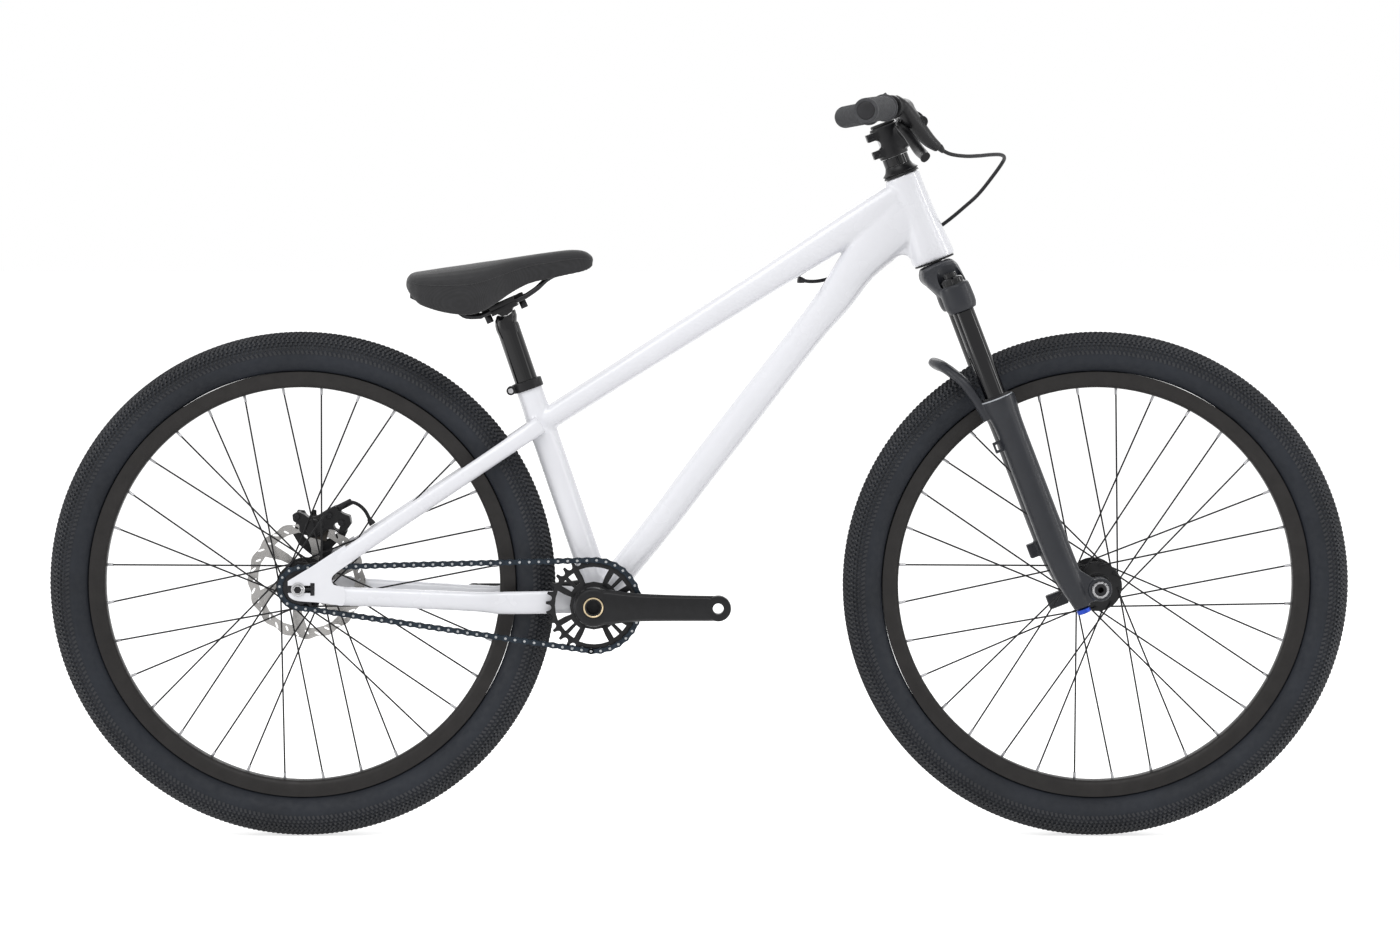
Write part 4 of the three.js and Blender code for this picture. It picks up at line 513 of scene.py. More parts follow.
def brushed(name, colour, centre):
    """Steel brushed round a centre."""
    material, nodes, links, surface, coords = shader(name)
    far = nodes.new("ShaderNodeVectorMath")
    far.operation = "LENGTH"
    links.new(from_centre(nodes, links, coords, centre), far.inputs[0])
    noise = nodes.new("ShaderNodeTexNoise")
    noise.noise_dimensions = "1D"
    noise.inputs["Scale"].default_value = 1500
    noise.inputs["Detail"].default_value = 3
    links.new(far.outputs["Value"], noise.inputs["W"])
    darker = tuple(c * 0.7 for c in colour)
    links.new(tinted(nodes, links, ranged(nodes, links, noise.outputs["Fac"], 0, 1), darker, colour),
              surface.inputs["Base Color"])
    links.new(ranged(nodes, links, noise.outputs["Fac"], 0.22, 0.4), surface.inputs["Roughness"])
    surface.inputs["Metallic"].default_value = 1
    bumped(nodes, links, surface, noise.outputs["Fac"], 0.12, 0.0001)
    return material


class BIKE_OT_finishes(bpy.types.Operator):
    """Make the finishes that all pieces share"""
    bl_idname = "bike.finishes"
    bl_label = "Finishes"

    def execute(self, context):
        colours = context.scene.bike_colours
        metal = tuple(colours.metal)
        PAINT.update(
            white=coated("frame_gloss_white", tuple(colours.frame), 0.24, spread=0.015, scale=9, bump=0.02,
                         bump_scale=160, coat=0.5),
            slate=coated("fork_satin_slate", tuple(colours.fork), 0.4, spread=0.1, scale=40, bump=0.06,
                         bump_scale=1500, coat=0.05, specular=0.32),
            gloss=coated("gloss_black", (0.002, 0.002, 0.003), 0.08, spread=0.2, scale=30, bump=0.0,
                         rough_spread=0.02, specular=0.36),
            satin=coated("anodised_black", metal, 0.36, spread=0.2, scale=90, bump=0.06, bump_scale=1800,
                         specular=0.25),
            rim=coated("rim_black", tuple(colours.rim), 0.45, metallic=0.3, spread=0.15, scale=50, bump=0.05,
                       bump_scale=1200, specular=0.3),
            spoke=coated("spoke_black", (0.004, 0.004, 0.005), 0.5, spread=0.3, scale=200, bump=0.0,
                         specular=0.25),
            nipple=coated("nipple_silver", (0.3, 0.3, 0.31), 0.3, metallic=1, spread=0.1, scale=300, bump=0.05),
            steel=coated("machined_steel", (0.44, 0.44, 0.45), 0.26, metallic=1, spread=0.12, scale=120,
                         bump=0.08, bump_scale=2500),
            bolt=coated("bolt_black", (0.023, 0.023, 0.025), 0.32, metallic=0.8, spread=0.2, scale=200,
                        bump=0.05),
            brass=coated("spindle_gold", (0.52, 0.42, 0.27), 0.3, metallic=1, spread=0.12, scale=160,
                         bump=0.05),
            rotor=brushed("rotor_steel", (0.4, 0.39, 0.38), REAR),
            chain=coated("chain_blue_black", (0.015, 0.023, 0.033), 0.3, metallic=0.7, spread=0.35, scale=220,
                         bump=0.08),
            pin=coated("chain_pin_steel", (0.36, 0.37, 0.38), 0.3, metallic=1, spread=0.15, scale=300,
                       bump=0.05),
            rubber=coated("hose_rubber", (0.012, 0.012, 0.014), 0.5, spread=0.25, scale=300, bump=0.1,
                          bump_scale=2500, specular=0.3),
            grip=coated("grip_rubber", (0.055, 0.056, 0.06), 0.78, spread=0.2, scale=160, bump=0.25,
                        bump_scale=1800, specular=0.3),
            plastic=coated("moulded_plastic", (0.014, 0.014, 0.016), 0.5, spread=0.2, scale=120, bump=0.15,
                           bump_scale=1500, specular=0.3),
            pad=coated("brake_pad", (0.05, 0.043, 0.036), 0.7, metallic=0.4, spread=0.3, scale=900, bump=0.3,
                       bump_scale=2500),
            blue=coated("knob_blue", tuple(colours.knob), 0.3, metallic=0.7, spread=0.1, scale=200, bump=0.05),
            pale=coated("seal_ring", (0.42, 0.44, 0.47), 0.4, metallic=0.2, spread=0.1, scale=200, bump=0.03),
            tyre_front=tyre_rubber("tyre_rubber_front", tuple(colours.tyre), FRONT),
            tyre_rear=tyre_rubber("tyre_rubber_rear", tuple(colours.tyre), REAR),
            # The tread copies are lighter than the casing: painted highlight on the blocks against painted
            # shade in the grooves between them
            tread_front=tyre_rubber("tread_rubber_painted_highlight_front", tuple(colours.tread), FRONT),
            tread_rear=tyre_rubber("tread_rubber_painted_highlight_rear", tuple(colours.tread), REAR),
            cloth=saddle_cloth("saddle_cloth", tuple(colours.saddle)),
        )
        kept = {
            "front_inner_tube": "rubber", "rear_inner_tube": "rubber", "front_axle": "bolt",
            "rear_axle": "bolt", "brake_pad_right": "pad", "brake_pad_left": "pad", "steerer": "steel",
            "rear_cog": "bolt",
        }
        for node, obj in frame["nodes"].items():
            obj.data.materials.clear()
            obj.data.materials.append(PAINT[kept.get(node, "satin")])
        return {"FINISHED"}


# ---------------------------------------------------------------- wheels

# Radius of the bare tyre, and of the tyre with its tread, in millimetres
CASING_RADIUS, TREAD_RADIUS = 335.6, 337.9
# Spokes: where they meet the hub's flange and the rim, and how many of each kind go round
FLANGE_RADIUS, FLANGE_SIDE, HOLE_RADIUS, SPOKE_ROUNDS = 28.5, 33, 265.5, 8


def tyre_section():
    """Outline of the tyre in (radius, side), from bead to bead and back inside."""
    outer = [(285.6, 11.4), (287.5, 15.6), (291, 19.5), (298, 25.2), (305, 28), (311, 28.4), (317.5, 26.8),
             (324, 23), (329.5, 17.2), (333.4, 10.2), (335.4, 3.6), (CASING_RADIUS, 0)]
    inner = [(331.5, 0), (329, 8), (323.5, 16.5), (315, 22.8), (306, 24.4), (298, 22), (291.5, 16.2),
             (286.6, 10.4)]
    mirrored = [(r, -y) for r, y in reversed(outer[:-1])]
    return outer + mirrored + [(r, -y) for r, y in reversed(inner[1:])] + inner


def tread_blocks(bm, repeats, depth):
    """One repeat of the tread, on the curved crown, copied round the tyre."""
    step = 2 * pi / repeats
    crown = [(0, CASING_RADIUS, 0), (4.6, 335.2, 0.12), (9.2, 333.8, 0.28), (13.6, 331.7, 0.44),
             (17.6, 328.8, 0.6), (21, 325.4, 0.78), (23.9, 321.4, 0.94), (26.2, 316.9, 1.1),
             (27.9, 312.0, 1.28)]
    for side in (-1, 1):
        for i, (y, r, tilt) in enumerate(crown):
            if i == 0 and side > 0:
                continue
            reach = min(TREAD_RADIUS - r, depth) if i < 2 else depth * (1 if i < 7 else 0.75)
            shape = Matrix.Diagonal((2 * reach, 5.3 if i else 4.2, step * r * 0.52, 1))
            made = bmesh.ops.create_cube(bm, size=1, matrix=shape)["verts"]
            bmesh.ops.scale(bm, vec=(1, 0.86, 0.78), verts=[v for v in made if v.co.x > 0])
            phase = 0.5 * (i > 4) - 0.33 * i + 0.25 * side
            place = (Matrix.Rotation(step * phase, 4, "Y") @ Matrix.Translation((r, side * y, 0))
                     @ Matrix.Rotation(-side * tilt, 4, "Z") @ Matrix.Rotation(side * 0.42, 4, "X"))
            bmesh.ops.transform(bm, matrix=place, verts=made)
    repeat_round(bm, repeats, (0, 1, 0))


class BIKE_OT_tyres(bpy.types.Operator):
    """Make the two tyres with their tread blocks"""
    bl_idname = "bike.tyres"
    bl_label = "Tyres"

    def execute(self, context):
        sizes = context.scene.bike_wheels
        for end, centre in WHEELS:
            bm = bmesh.new()
            lathe(bm, tyre_section(), TO_Y, 160, closed=True)
            placed(bm, Matrix.Translation(centre))
            piece(drawn(bm, end + "_tyre_casing"), end + "_wheel", "tyre_" + end, [end + "_tyre"], sharp=60)
            bm = bmesh.new()
            tread_blocks(bm, sizes.tread_repeats, sizes.tread_depth)
            placed(bm, Matrix.Translation(centre))
            # The blocks take the lighter tread rubber, a painted highlight over the darker casing that stands
            # for painted shade in the grooves
            piece(drawn(bm, end + "_tyre_tread"), end + "_wheel", "tread_" + end, [end + "_tyre"], sharp=20)
        return {"FINISHED"}


def spoke_lines():
    """Ends and sides of the four spokes that repeat eight times round a wheel."""
    lines = []
    for side in (-1, 1):
        for i in (0, 1):
            outer = radians(i * 22.5 + 5.625 * side)
            inner = outer + radians(67.5 if i % 2 else -67.5)
            away = 4.1 if i % 2 else -4.1
            start = Vector((FLANGE_RADIUS * cos(inner), side * (FLANGE_SIDE + away),
                            FLANGE_RADIUS * sin(inner)))
            lines.append((start, Vector((HOLE_RADIUS * cos(outer), side, HOLE_RADIUS * sin(outer)))))
    return lines


class BIKE_OT_rims(bpy.types.Operator):
    """Make the rims, their spokes and nipples"""
    bl_idname = "bike.rims"
    bl_label = "Rims and spokes"

    def execute(self, context):
        sizes = context.scene.bike_wheels
        section = [(285, 15.5), (284.6, 13.2), (283, 11.4), (277, 10.8), (276, 9.5), (275.6, 0), (276, -9.5),
                   (277, -10.8), (283, -11.4), (284.6, -13.2), (285, -15.5), (283.4, -15.4), (279, -14.7),
                   (270, -12.6), (265.4, -10.6), (263.9, -8.2), (263.5, 0), (263.9, 8.2), (265.4, 10.6),
                   (270, 12.6), (279, 14.7), (283.4, 15.4)]
        for end, centre in WHEELS:
            bm = bmesh.new()
            lathe(bm, section, TO_Y, 160, closed=True)
            placed(bm, Matrix.Translation(centre))
            piece(drawn(bm, end + "_rim_hoop"), end + "_wheel", "rim", [end + "_rim"], sharp=40)
            bm = bmesh.new()
            for start, stop in spoke_lines():
                rod(bm, start, stop, sizes.spoke_radius, 8)
                lathe(bm, [(0, -0.8), (1.9, -0.8), (1.9, 0.2), (0.9, 0.9), (0, 0.9)], facing(1, start), 8)
            repeat_round(bm, SPOKE_ROUNDS, (0, 1, 0))
            placed(bm, Matrix.Translation(centre))
            piece(drawn(bm, end + "_spokes"), end + "_wheel", "spoke", [end + "_rim"])
            bm = bmesh.new()
            for start, stop in spoke_lines():
                along = (start - stop).normalized()
                base = stop + along * 1.6
                tip = base + along * sizes.nipple_length
                rod(bm, base, tip, 1.9, 8)
            repeat_round(bm, SPOKE_ROUNDS, (0, 1, 0))
            placed(bm, Matrix.Translation(centre))
            piece(drawn(bm, end + "_nipples"), end + "_wheel", "nipple", [end + "_rim"])
        return {"FINISHED"}


def hub_profile(low, high, bore):
    """Hub shell with two flanges, in (radius, side)."""
    return [(bore, low), (17.4, low), (18, low + 0.8), (18, -35.5), (20, -34.6), (32, -34.5), (33, -33.6),
            (33, -32.4), (32, -31.5), (21, -31), (17, -28), (15.2, -22), (14.6, 0), (15.2, 22), (17, 28),
            (21, 31), (32, 31.5), (33, 32.4), (33, 33.6), (32, 34.5), (20, 34.6), (18, 35.5), (18, high - 0.8),
            (17.4, high), (bore, high)]


class BIKE_OT_hubs(bpy.types.Operator):
    """Make the hubs, the rear cog and the axle ends"""
    bl_idname = "bike.hubs"
    bl_label = "Hubs and axle ends"

    def execute(self, context):
        hubs = (("front", AT_FRONT, (-49.7, 49.7, 7.8)), ("rear", AT_REAR, (-39, 48.5, 5)))
        for end, at, sizes in hubs:
            shell = turned(end + "_hub_shell", hub_profile(*sizes), at @ TO_Y, 64)
            piece(shell, end + "_wheel", "satin", [end + "_hub"])
        bm = bmesh.new()
        lathe(bm, [(5, -55), (12, -55), (12, -53), (16.2, -52.4), (17, -51.5), (17, -39.3), (5, -39.3)],
              AT_REAR @ TO_Y, 48, closed=True)
        plate(bm, tooth_outline(COG_TEETH, COG_RADIUS, 6.5), -50.2, -47.8,
              AT_REAR @ Matrix.Rotation(CHAIN_TILT, 4, "Y"))
        piece(drawn(bm, "rear_cog_teeth"), "cog", "bolt", ["rear_cog"], bevel=0.3, segments=1)
        for name, side in (("right", -1), ("left", 1)):
            bm = bmesh.new()
            place = AT_REAR @ facing(side)
            lathe(bm, [(4, 74.9), (9, 74.9), (9.2, 75.1), (9.2, 76.4), (8.8, 76.8), (4, 76.8)], place, 40,
                  closed=True)
            lathe(bm, [(0, 76.8), (6.3, 76.8), (6.6, 77.2), (6.6, 80.6), (5.7, 81.8), (3.4, 81.8), (3.1, 81.4),
                       (3.1, 78.8), (0, 78.8)], place, 40)
            piece(drawn(bm, "axle_nut_" + name), "frame", "steel", ["axle_bolt_" + name])
            bm = bmesh.new()
            lathe(bm, [(0, 80.4), (5, 80.4), (5.2, 81.9), (4.6, 82.2), (3.1, 82.2), (2.9, 80.9), (0, 80.9)],
                  place, 6)
            piece(drawn(bm, "axle_socket_" + name), "frame", "bolt")
        bm = bmesh.new()
        place = AT_FRONT @ facing(-1)
        lathe(bm, [(4.1, 40), (7.5, 40), (7.5, 80.4), (10.6, 80.4), (11.4, 81), (11.4, 82.7), (10.8, 83.3),
                   (8.2, 83.3), (7.9, 82.9), (7.9, 80.8), (4.3, 80.8), (4.1, 80.4)], place, 48, closed=True)
        piece(drawn(bm, "front_axle_end"), "fork_lowers", "steel")
        return {"FINISHED"}


# ---------------------------------------------------------------- drive

def tooth_outline(teeth, radius, turn):
    """Rounded teeth round a ring of the given pitch radius."""
    step = 2 * pi / teeth
    points = []
    seat = 3.9
    tip = radius + 3.1
    for i in range(teeth):
        at = (i + turn) * step
        for k in (-2, -1, 0, 1, 2):
            a = k * 0.62
            r = radius - seat * cos(a) - 0.35
            side = seat * sin(a)
            points.append((r * cos(at) - side * sin(at), r * sin(at) + side * cos(at)))
        for share in (-0.13, 0.13):
            b = at + step * (0.5 + share)
            points.append(polar(tip, b))
    return points


def chain_points():
    """Places of the chain's pins about the bracket, before its tilt."""
    ring_radius, cog_radius = PITCH / (2 * sin(pi / RING_TEETH)), PITCH / (2 * sin(pi / COG_TEETH))
    points = [polar(ring_radius, radians(a)) for a in range(-90, 91, 12)]
    seats = [radians(180 - i * 360 / COG_TEETH) for i in range(3, -4, -1)]
    cog = [(-STAY + cog_radius * cos(a), cog_radius * sin(a)) for a in seats]

    def run(start, stop):
        links = round(hypot(stop[0] - start[0], stop[1] - start[1]) / PITCH)
        return [tuple(a + (b - a) * i / links for a, b in zip(start, stop)) for i in range(1, links)]

    top = run(points[-1], cog[0])
    return points + top + cog + run(cog[-1], points[0])


def link_outline(length):
    """Waisted outline of a chain plate between two pins."""
    points = []
    for centre, start in ((0, 90), (length, -90)):
        for k in range(7):
            a = radians(start + 30 * k)
            points.append((centre + 4.1 * cos(a), 4.1 * sin(a)))
        mid = length / 2
        points.append((mid, -2.9 if start == 90 else 2.9))
    return points


class BIKE_OT_chain(bpy.types.Operator):
    """Make the chain, link by link"""
    bl_idname = "bike.chain"
    bl_label = "Chain"

    def execute(self, context):
        points = chain_points()
        plates, pins = bmesh.new(), bmesh.new()
        for i, (x, z) in enumerate(points):
            nx, nz = points[(i + 1) % len(points)]
            turn = -atan2(nz - z, nx - x)
            outline = link_outline(hypot(nx - x, nz - z))
            place = DRIVE_TILTED @ Matrix.Translation((x, CHAIN_SIDE, z)) @ Matrix.Rotation(turn, 4, "Y")
            gap = 2.25 if i % 2 else 3.3
            for side in (-1, 1):
                low, high = sorted((side * gap, side * (gap + 0.95)))
                plate(plates, outline, low, high, place)
            centre = DRIVE_TILTED @ Matrix.Translation((x, CHAIN_SIDE, z))
            lathe(pins, [(0, -4.9), (1.5, -4.9), (1.8, -4.6), (1.8, -3.3), (3.9, -2.2), (3.9, 2.2), (1.8, 3.3),
                         (1.8, 4.6), (1.5, 4.9), (0, 4.9)], centre @ TO_Y, 10)
        piece(drawn(plates, "chain_plates"), "frame", "chain", ["chain"], bevel=0.2, segments=1)
        piece(drawn(pins, "chain_pins"), "frame", "pin", ["chain"])
        return {"FINISHED"}


def window_outline(middle, half, outer, inner, narrow):
    """Outline of a window in the chainring, rounded at its corners."""
    rows = [(outer, -half), (outer, -half / 2), (outer, 0), (outer, half / 2), (outer, half),
            ((outer + inner) / 2, half * 0.93), (inner, half * narrow), (inner, 0), (inner, -half * narrow),
            ((outer + inner) / 2, -half * 0.93)]
    return [polar(r, radians(middle + a)) for r, a in rows]


class BIKE_OT_crankset(bpy.types.Operator):
    """Make the chainring, both crank arms and the spindle ends"""
    bl_idname = "bike.crankset"
    bl_label = "Crankset"

    def execute(self, context):
        bm = bmesh.new()
        plate(bm, tooth_outline(RING_TEETH, RING_RADIUS, 0.5), -50.2, -47.8, DRIVE_TILTED)
        cutter = bmesh.new()
        for quarter in (3.5, 93.5, 183.5, 273.5):
            plate(cutter, window_outline(quarter, 22.5, 51.6, 32, 0.92), -60, -40, DRIVE_TILTED)
            for small in (36.8, 53.2):
                plate(cutter, window_outline(quarter + small, 5.2, 50.6, 35, 0.9), -60, -40, DRIVE_TILTED)
        cylinder(cutter, 15.2, -60, -40, DRIVE @ TO_Y, 40)
        chainring = carve(drawn(bm, "chainring_plate"), drawn(cutter, "windows"))
        piece(chainring, "crank", "satin", ["chainring"], bevel=0.45, sharp=28)
        bm = bmesh.new()
        lathe(bm, [(12.4, -49.4), (27, -49.4), (28.4, -50), (29, -51), (28.4, -52), (26, -52.6), (12.4, -52.6)],
              DRIVE @ TO_Y, 64, closed=True)
        lathe(bm, [(12.4, -52), (15, -52), (15, -39.6), (12.4, -39.6)], DRIVE @ TO_Y, 48, closed=True)
        piece(drawn(bm, "chainring_boss"), "crank", "satin", ["chainring"])
        for name, side in (("right", -1), ("left", 1)):
            place = DRIVE @ Matrix.Rotation(pi if side > 0 else 0, 4, "Z")
            bm = bmesh.new()
            arm = smooth_route([(0, -66, 0, 50, 19), (22, -68.5, 0, 46.5, 18.4), (42, -71.5, 0, 41, 17.2),
                                (64, -74.5, 0, 37, 15.6), (110, -81, 0, 34.6, 13.4), (150, -85, 0, 33.8, 13),
                                (165, -85, 0, 33.6, 13)], 16)
            sweep(bm, arm, 32, ACROSS, 0.3)
            lathe(bm, [(0, -76), (20, -76), (23.5, -75), (25.6, -72.5), (26.4, -68), (26.4, -55), (25, -54),
                       (0, -54)], TO_Y, 48)
            end = Matrix.Translation((165, 0, 0)) @ TO_Y
            lathe(bm, chamfered(17, -91.5, -78.5, 1.4, 1.2), end, 48)
            placed(bm, place)
            cutter = bmesh.new()
            cylinder(cutter, 7.2, -120, -60, end, 40)
            cylinder(cutter, 12.3, -120, -40, TO_Y, 40)
            cylinder(cutter, 14.6, -120, -74, TO_Y, 40)
            placed(cutter, place)
            crank = cast(drawn(bm, "crank_shape_" + name), 0.9, 3, drawn(cutter, "bores"))
            piece(crank, "crank", "satin", ["crank_arm_" + name], sharp=45)
            rows = [(11.5, -60), (12.2, -60), (12.2, -75.6), (13.2, -76.1), (13.3, -76.9), (12.1, -77),
                    (11.5, -76.6)]
            piece(turned("spindle_ring_" + name, rows, place @ TO_Y), "crank", "brass")
            bm = bmesh.new()
            lathe(bm, [(0, -58), (11.4, -58), (11.4, -75.4), (10.9, -75.8), (10.4, -75.4), (10.4, -60),
                       (0, -60)], place @ TO_Y, 40)
            piece(drawn(bm, "spindle_cap_" + name), "crank", "plastic")
            bm = bmesh.new()
            side_place = DRIVE @ facing(side)
            lathe(bm, [(12.3, 18.6), (17, 18.6), (17, 36.8), (20.4, 36.8), (21.4, 37.2), (21.4, 38.6),
                       (20.8, 39.3), (12.3, 39.3)], side_place, 48, closed=True)
            piece(drawn(bm, "bearing_cup_" + name), "frame", "satin", ["bracket_cup_" + name])
        return {"FINISHED"}


# ---------------------------------------------------------------- frame

def top_tube_rows():
    start, stop = seat_point(256), head_point(99)
    rows = [(0, 31), (0.22, 32), (0.43, 34.5), (0.62, 37), (0.76, 41), (0.9, 43), (1, 43)]
    drop = Vector((0, 0, -3.6))
    return [(*(start.lerp(stop, share) + drop * (1 - share)), high, 38) for share, high in rows]


def down_tube_rows():
    start, stop = BRACKET.copy(), head_point(53)
    along = (stop - start).normalized()
    out = Vector((-along.z, 0, along.x))
    rows = [(0, -0.12, 36), (0.2, 0.06, 39), (0.32, 0.3, 41), (0.46, 0.54, 42), (0.68, 0.88, 42), (0.78, 1, 48),
            (0.85, 1.24, 53), (0.92, 1.21, 64.3), (1, 1.05, 76)]
    rough = [(*(start.lerp(stop, share) + out * 21 * bow), high, 44) for share, bow, high in rows]
    return smooth_route(rough, 30)


def chain_stay_rows():
    rows = [(0.014, 0, 0, 1, 0.6), (0.09, 0.08, 0.07, 0.94, 0.5), (0.167, 0.21, 0.07, 0.94, 0.6),
            (0.313, 0.3, 0.04, 0.91, 0.68), (0.41, 0.42, 0.21, 0.79, 0.94), (0.667, 0.68, 0.61, 0.76, 1),
            (0.78, 0.81, 0.78, 0.75, 0.98), (0.865, 0.905, 0.89, 0.745, 0.88), (0.95, 1, 1, 0.59, 0.4)]
    span = BRACKET.x - REAR.x
    made = [(BRACKET.x - span * a, 28 + 43 * o, 316 + 14 * u, 34 * h, 17 * w) for a, o, u, h, w in rows]
    return smooth_route(made, 32)


def seat_stay_rows():
    rows = [(0.02, 1, 0.7, 0.4), (0.12, 1, 0.84, 0.42), (0.2, 0.96, 0.88, 0.85), (0.4, 0.76, 0.88, 1),
            (0.615, 0.58, 0.88, 1), (0.793, 0.43, 0.88, 0.94), (0.92, 0.24, 0.92, 0.81), (1, 0, 1, 0.75)]
    top, low = seat_point(252.4), REAR + Vector((10, 0, 8))
    made = []
    for along, out, high, wide in rows:
        at = low.lerp(top, along)
        made.append((at.x, 22 + 49 * out, at.z, 25 * high, 16 * wide))
    return smooth_route(made, 32)


def dropout_outline():
    """Outline of a dropout about the axle, with its slot open to the rear."""
    top = [(-13.5, 11), (2, 20.5), (18.6, 30.4), (40, 44.5), (62, 58.5)]
    inner = smooth_route([(72, 37), (52, 23), (44.5, 15), (46, 7), (52, 4.6), (60, 3.4)], 24)
    low = smooth_route([(63, -9), (60, -21.2), (48, -20.2), (32, -17.8), (8, -16.2), (-4, -14.5), (-11, -10.5),
                        (-13.5, -5.5)], 18)
    slot = [(-13.5, -5), (16.2, -5), (16.2, -8.5), (22, -8.5), (22, 8.5), (16.2, 8.5), (16.2, 5), (-13.5, 5)]
    return top + [tuple(p) for p in inner + low] + slot


class BIKE_OT_frame(bpy.types.Operator):
    """Make the welded frame, its dropouts and chain tensioners"""
    bl_idname = "bike.frame"
    bl_label = "Frame"

    def execute(self, context):
        sizes = context.scene.bike_frame
        bm = bmesh.new()
        lathe(bm, [(0, 0), (29.3, 0), (29.5, 6), (29, 14), (27, 34), (25, 60), (23.8, 92), (23.5, 108),
                   (23.5, 121), (0, 121)], HEAD, 48)
        seat_rows = [(0, 18.3), (262, 18.3), (274, 17.6), (311, 17.45)]
        sweep(bm, [(*seat_point(h), 2 * r, 2 * r) for h, r in seat_rows], 40)
        cylinder(bm, 23, -36.5, 36.5, DRIVE @ TO_Y, 48)
        sweep(bm, top_tube_rows(), 40, ACROSS, 0.22)
        sweep(bm, down_tube_rows(), 40, ACROSS, 0.18)
        corner = Vector((271.4, 767.3))
        arc = [corner + 11 * Vector((cos(a), sin(a))) for a in (radians(131.6 - 9.2 * i) for i in range(13))]
        plate(bm, [(258.8, 781.5), *((a.x, a.y) for a in arc), (289.2, 774.1), (280, 796)], -12, 12)
        for rows in (chain_stay_rows(), seat_stay_rows()):
            sweep(bm, rows, 28, ACROSS, 0.2)
            sweep(bm, [(x, -y, z, h, w) for x, y, z, h, w in rows], 28, ACROSS, 0.2)
        cutter = bmesh.new()
        lathe(cutter, [(0, -9), (22.4, -9), (22.4, 24), (17.4, 97), (17.4, 140), (0, 140)], HEAD, 48)
        cylinder(cutter, 15.8, 30, 330, SEAT, 48)
        cylinder(cutter, 17.5, -50, 50, DRIVE @ TO_Y, 48)
        box(cutter, (-620, -67.4, 270), (-462, 67.4, 405))
        shape = cast(drawn(bm, "frame_tubes"), sizes.voxel, sizes.weld_passes, drawn(cutter, "bores"))
        piece(shape, "frame", "white", ["frame"], sharp=50)
        for name, low, high in (("right", -74.5, -67.5), ("left", 67.5, 74.5)):
            bm = bmesh.new()
            plate(bm, dropout_outline(), low, high, AT_REAR)
            piece(drawn(bm, "dropout_" + name), "frame", "white", ["frame"], bevel=1.1, segments=3, sharp=40)
            bm = bmesh.new()
            middle = (low + high) / 2
            box(bm, (16.5, low + 0.3, -8.2), (21.7, high - 0.3, 8.2), AT_REAR)
            rod(bm, REAR + Vector((5.2, middle, 0)), REAR + Vector((17, middle, 0)), 2.4, 16)
            piece(drawn(bm, "tensioner_shape_" + name), "frame", "bolt", ["tensioner_" + name],
                  bevel=0.5)
        return {"FINISHED"}


# ---------------------------------------------------------------- fork and headset

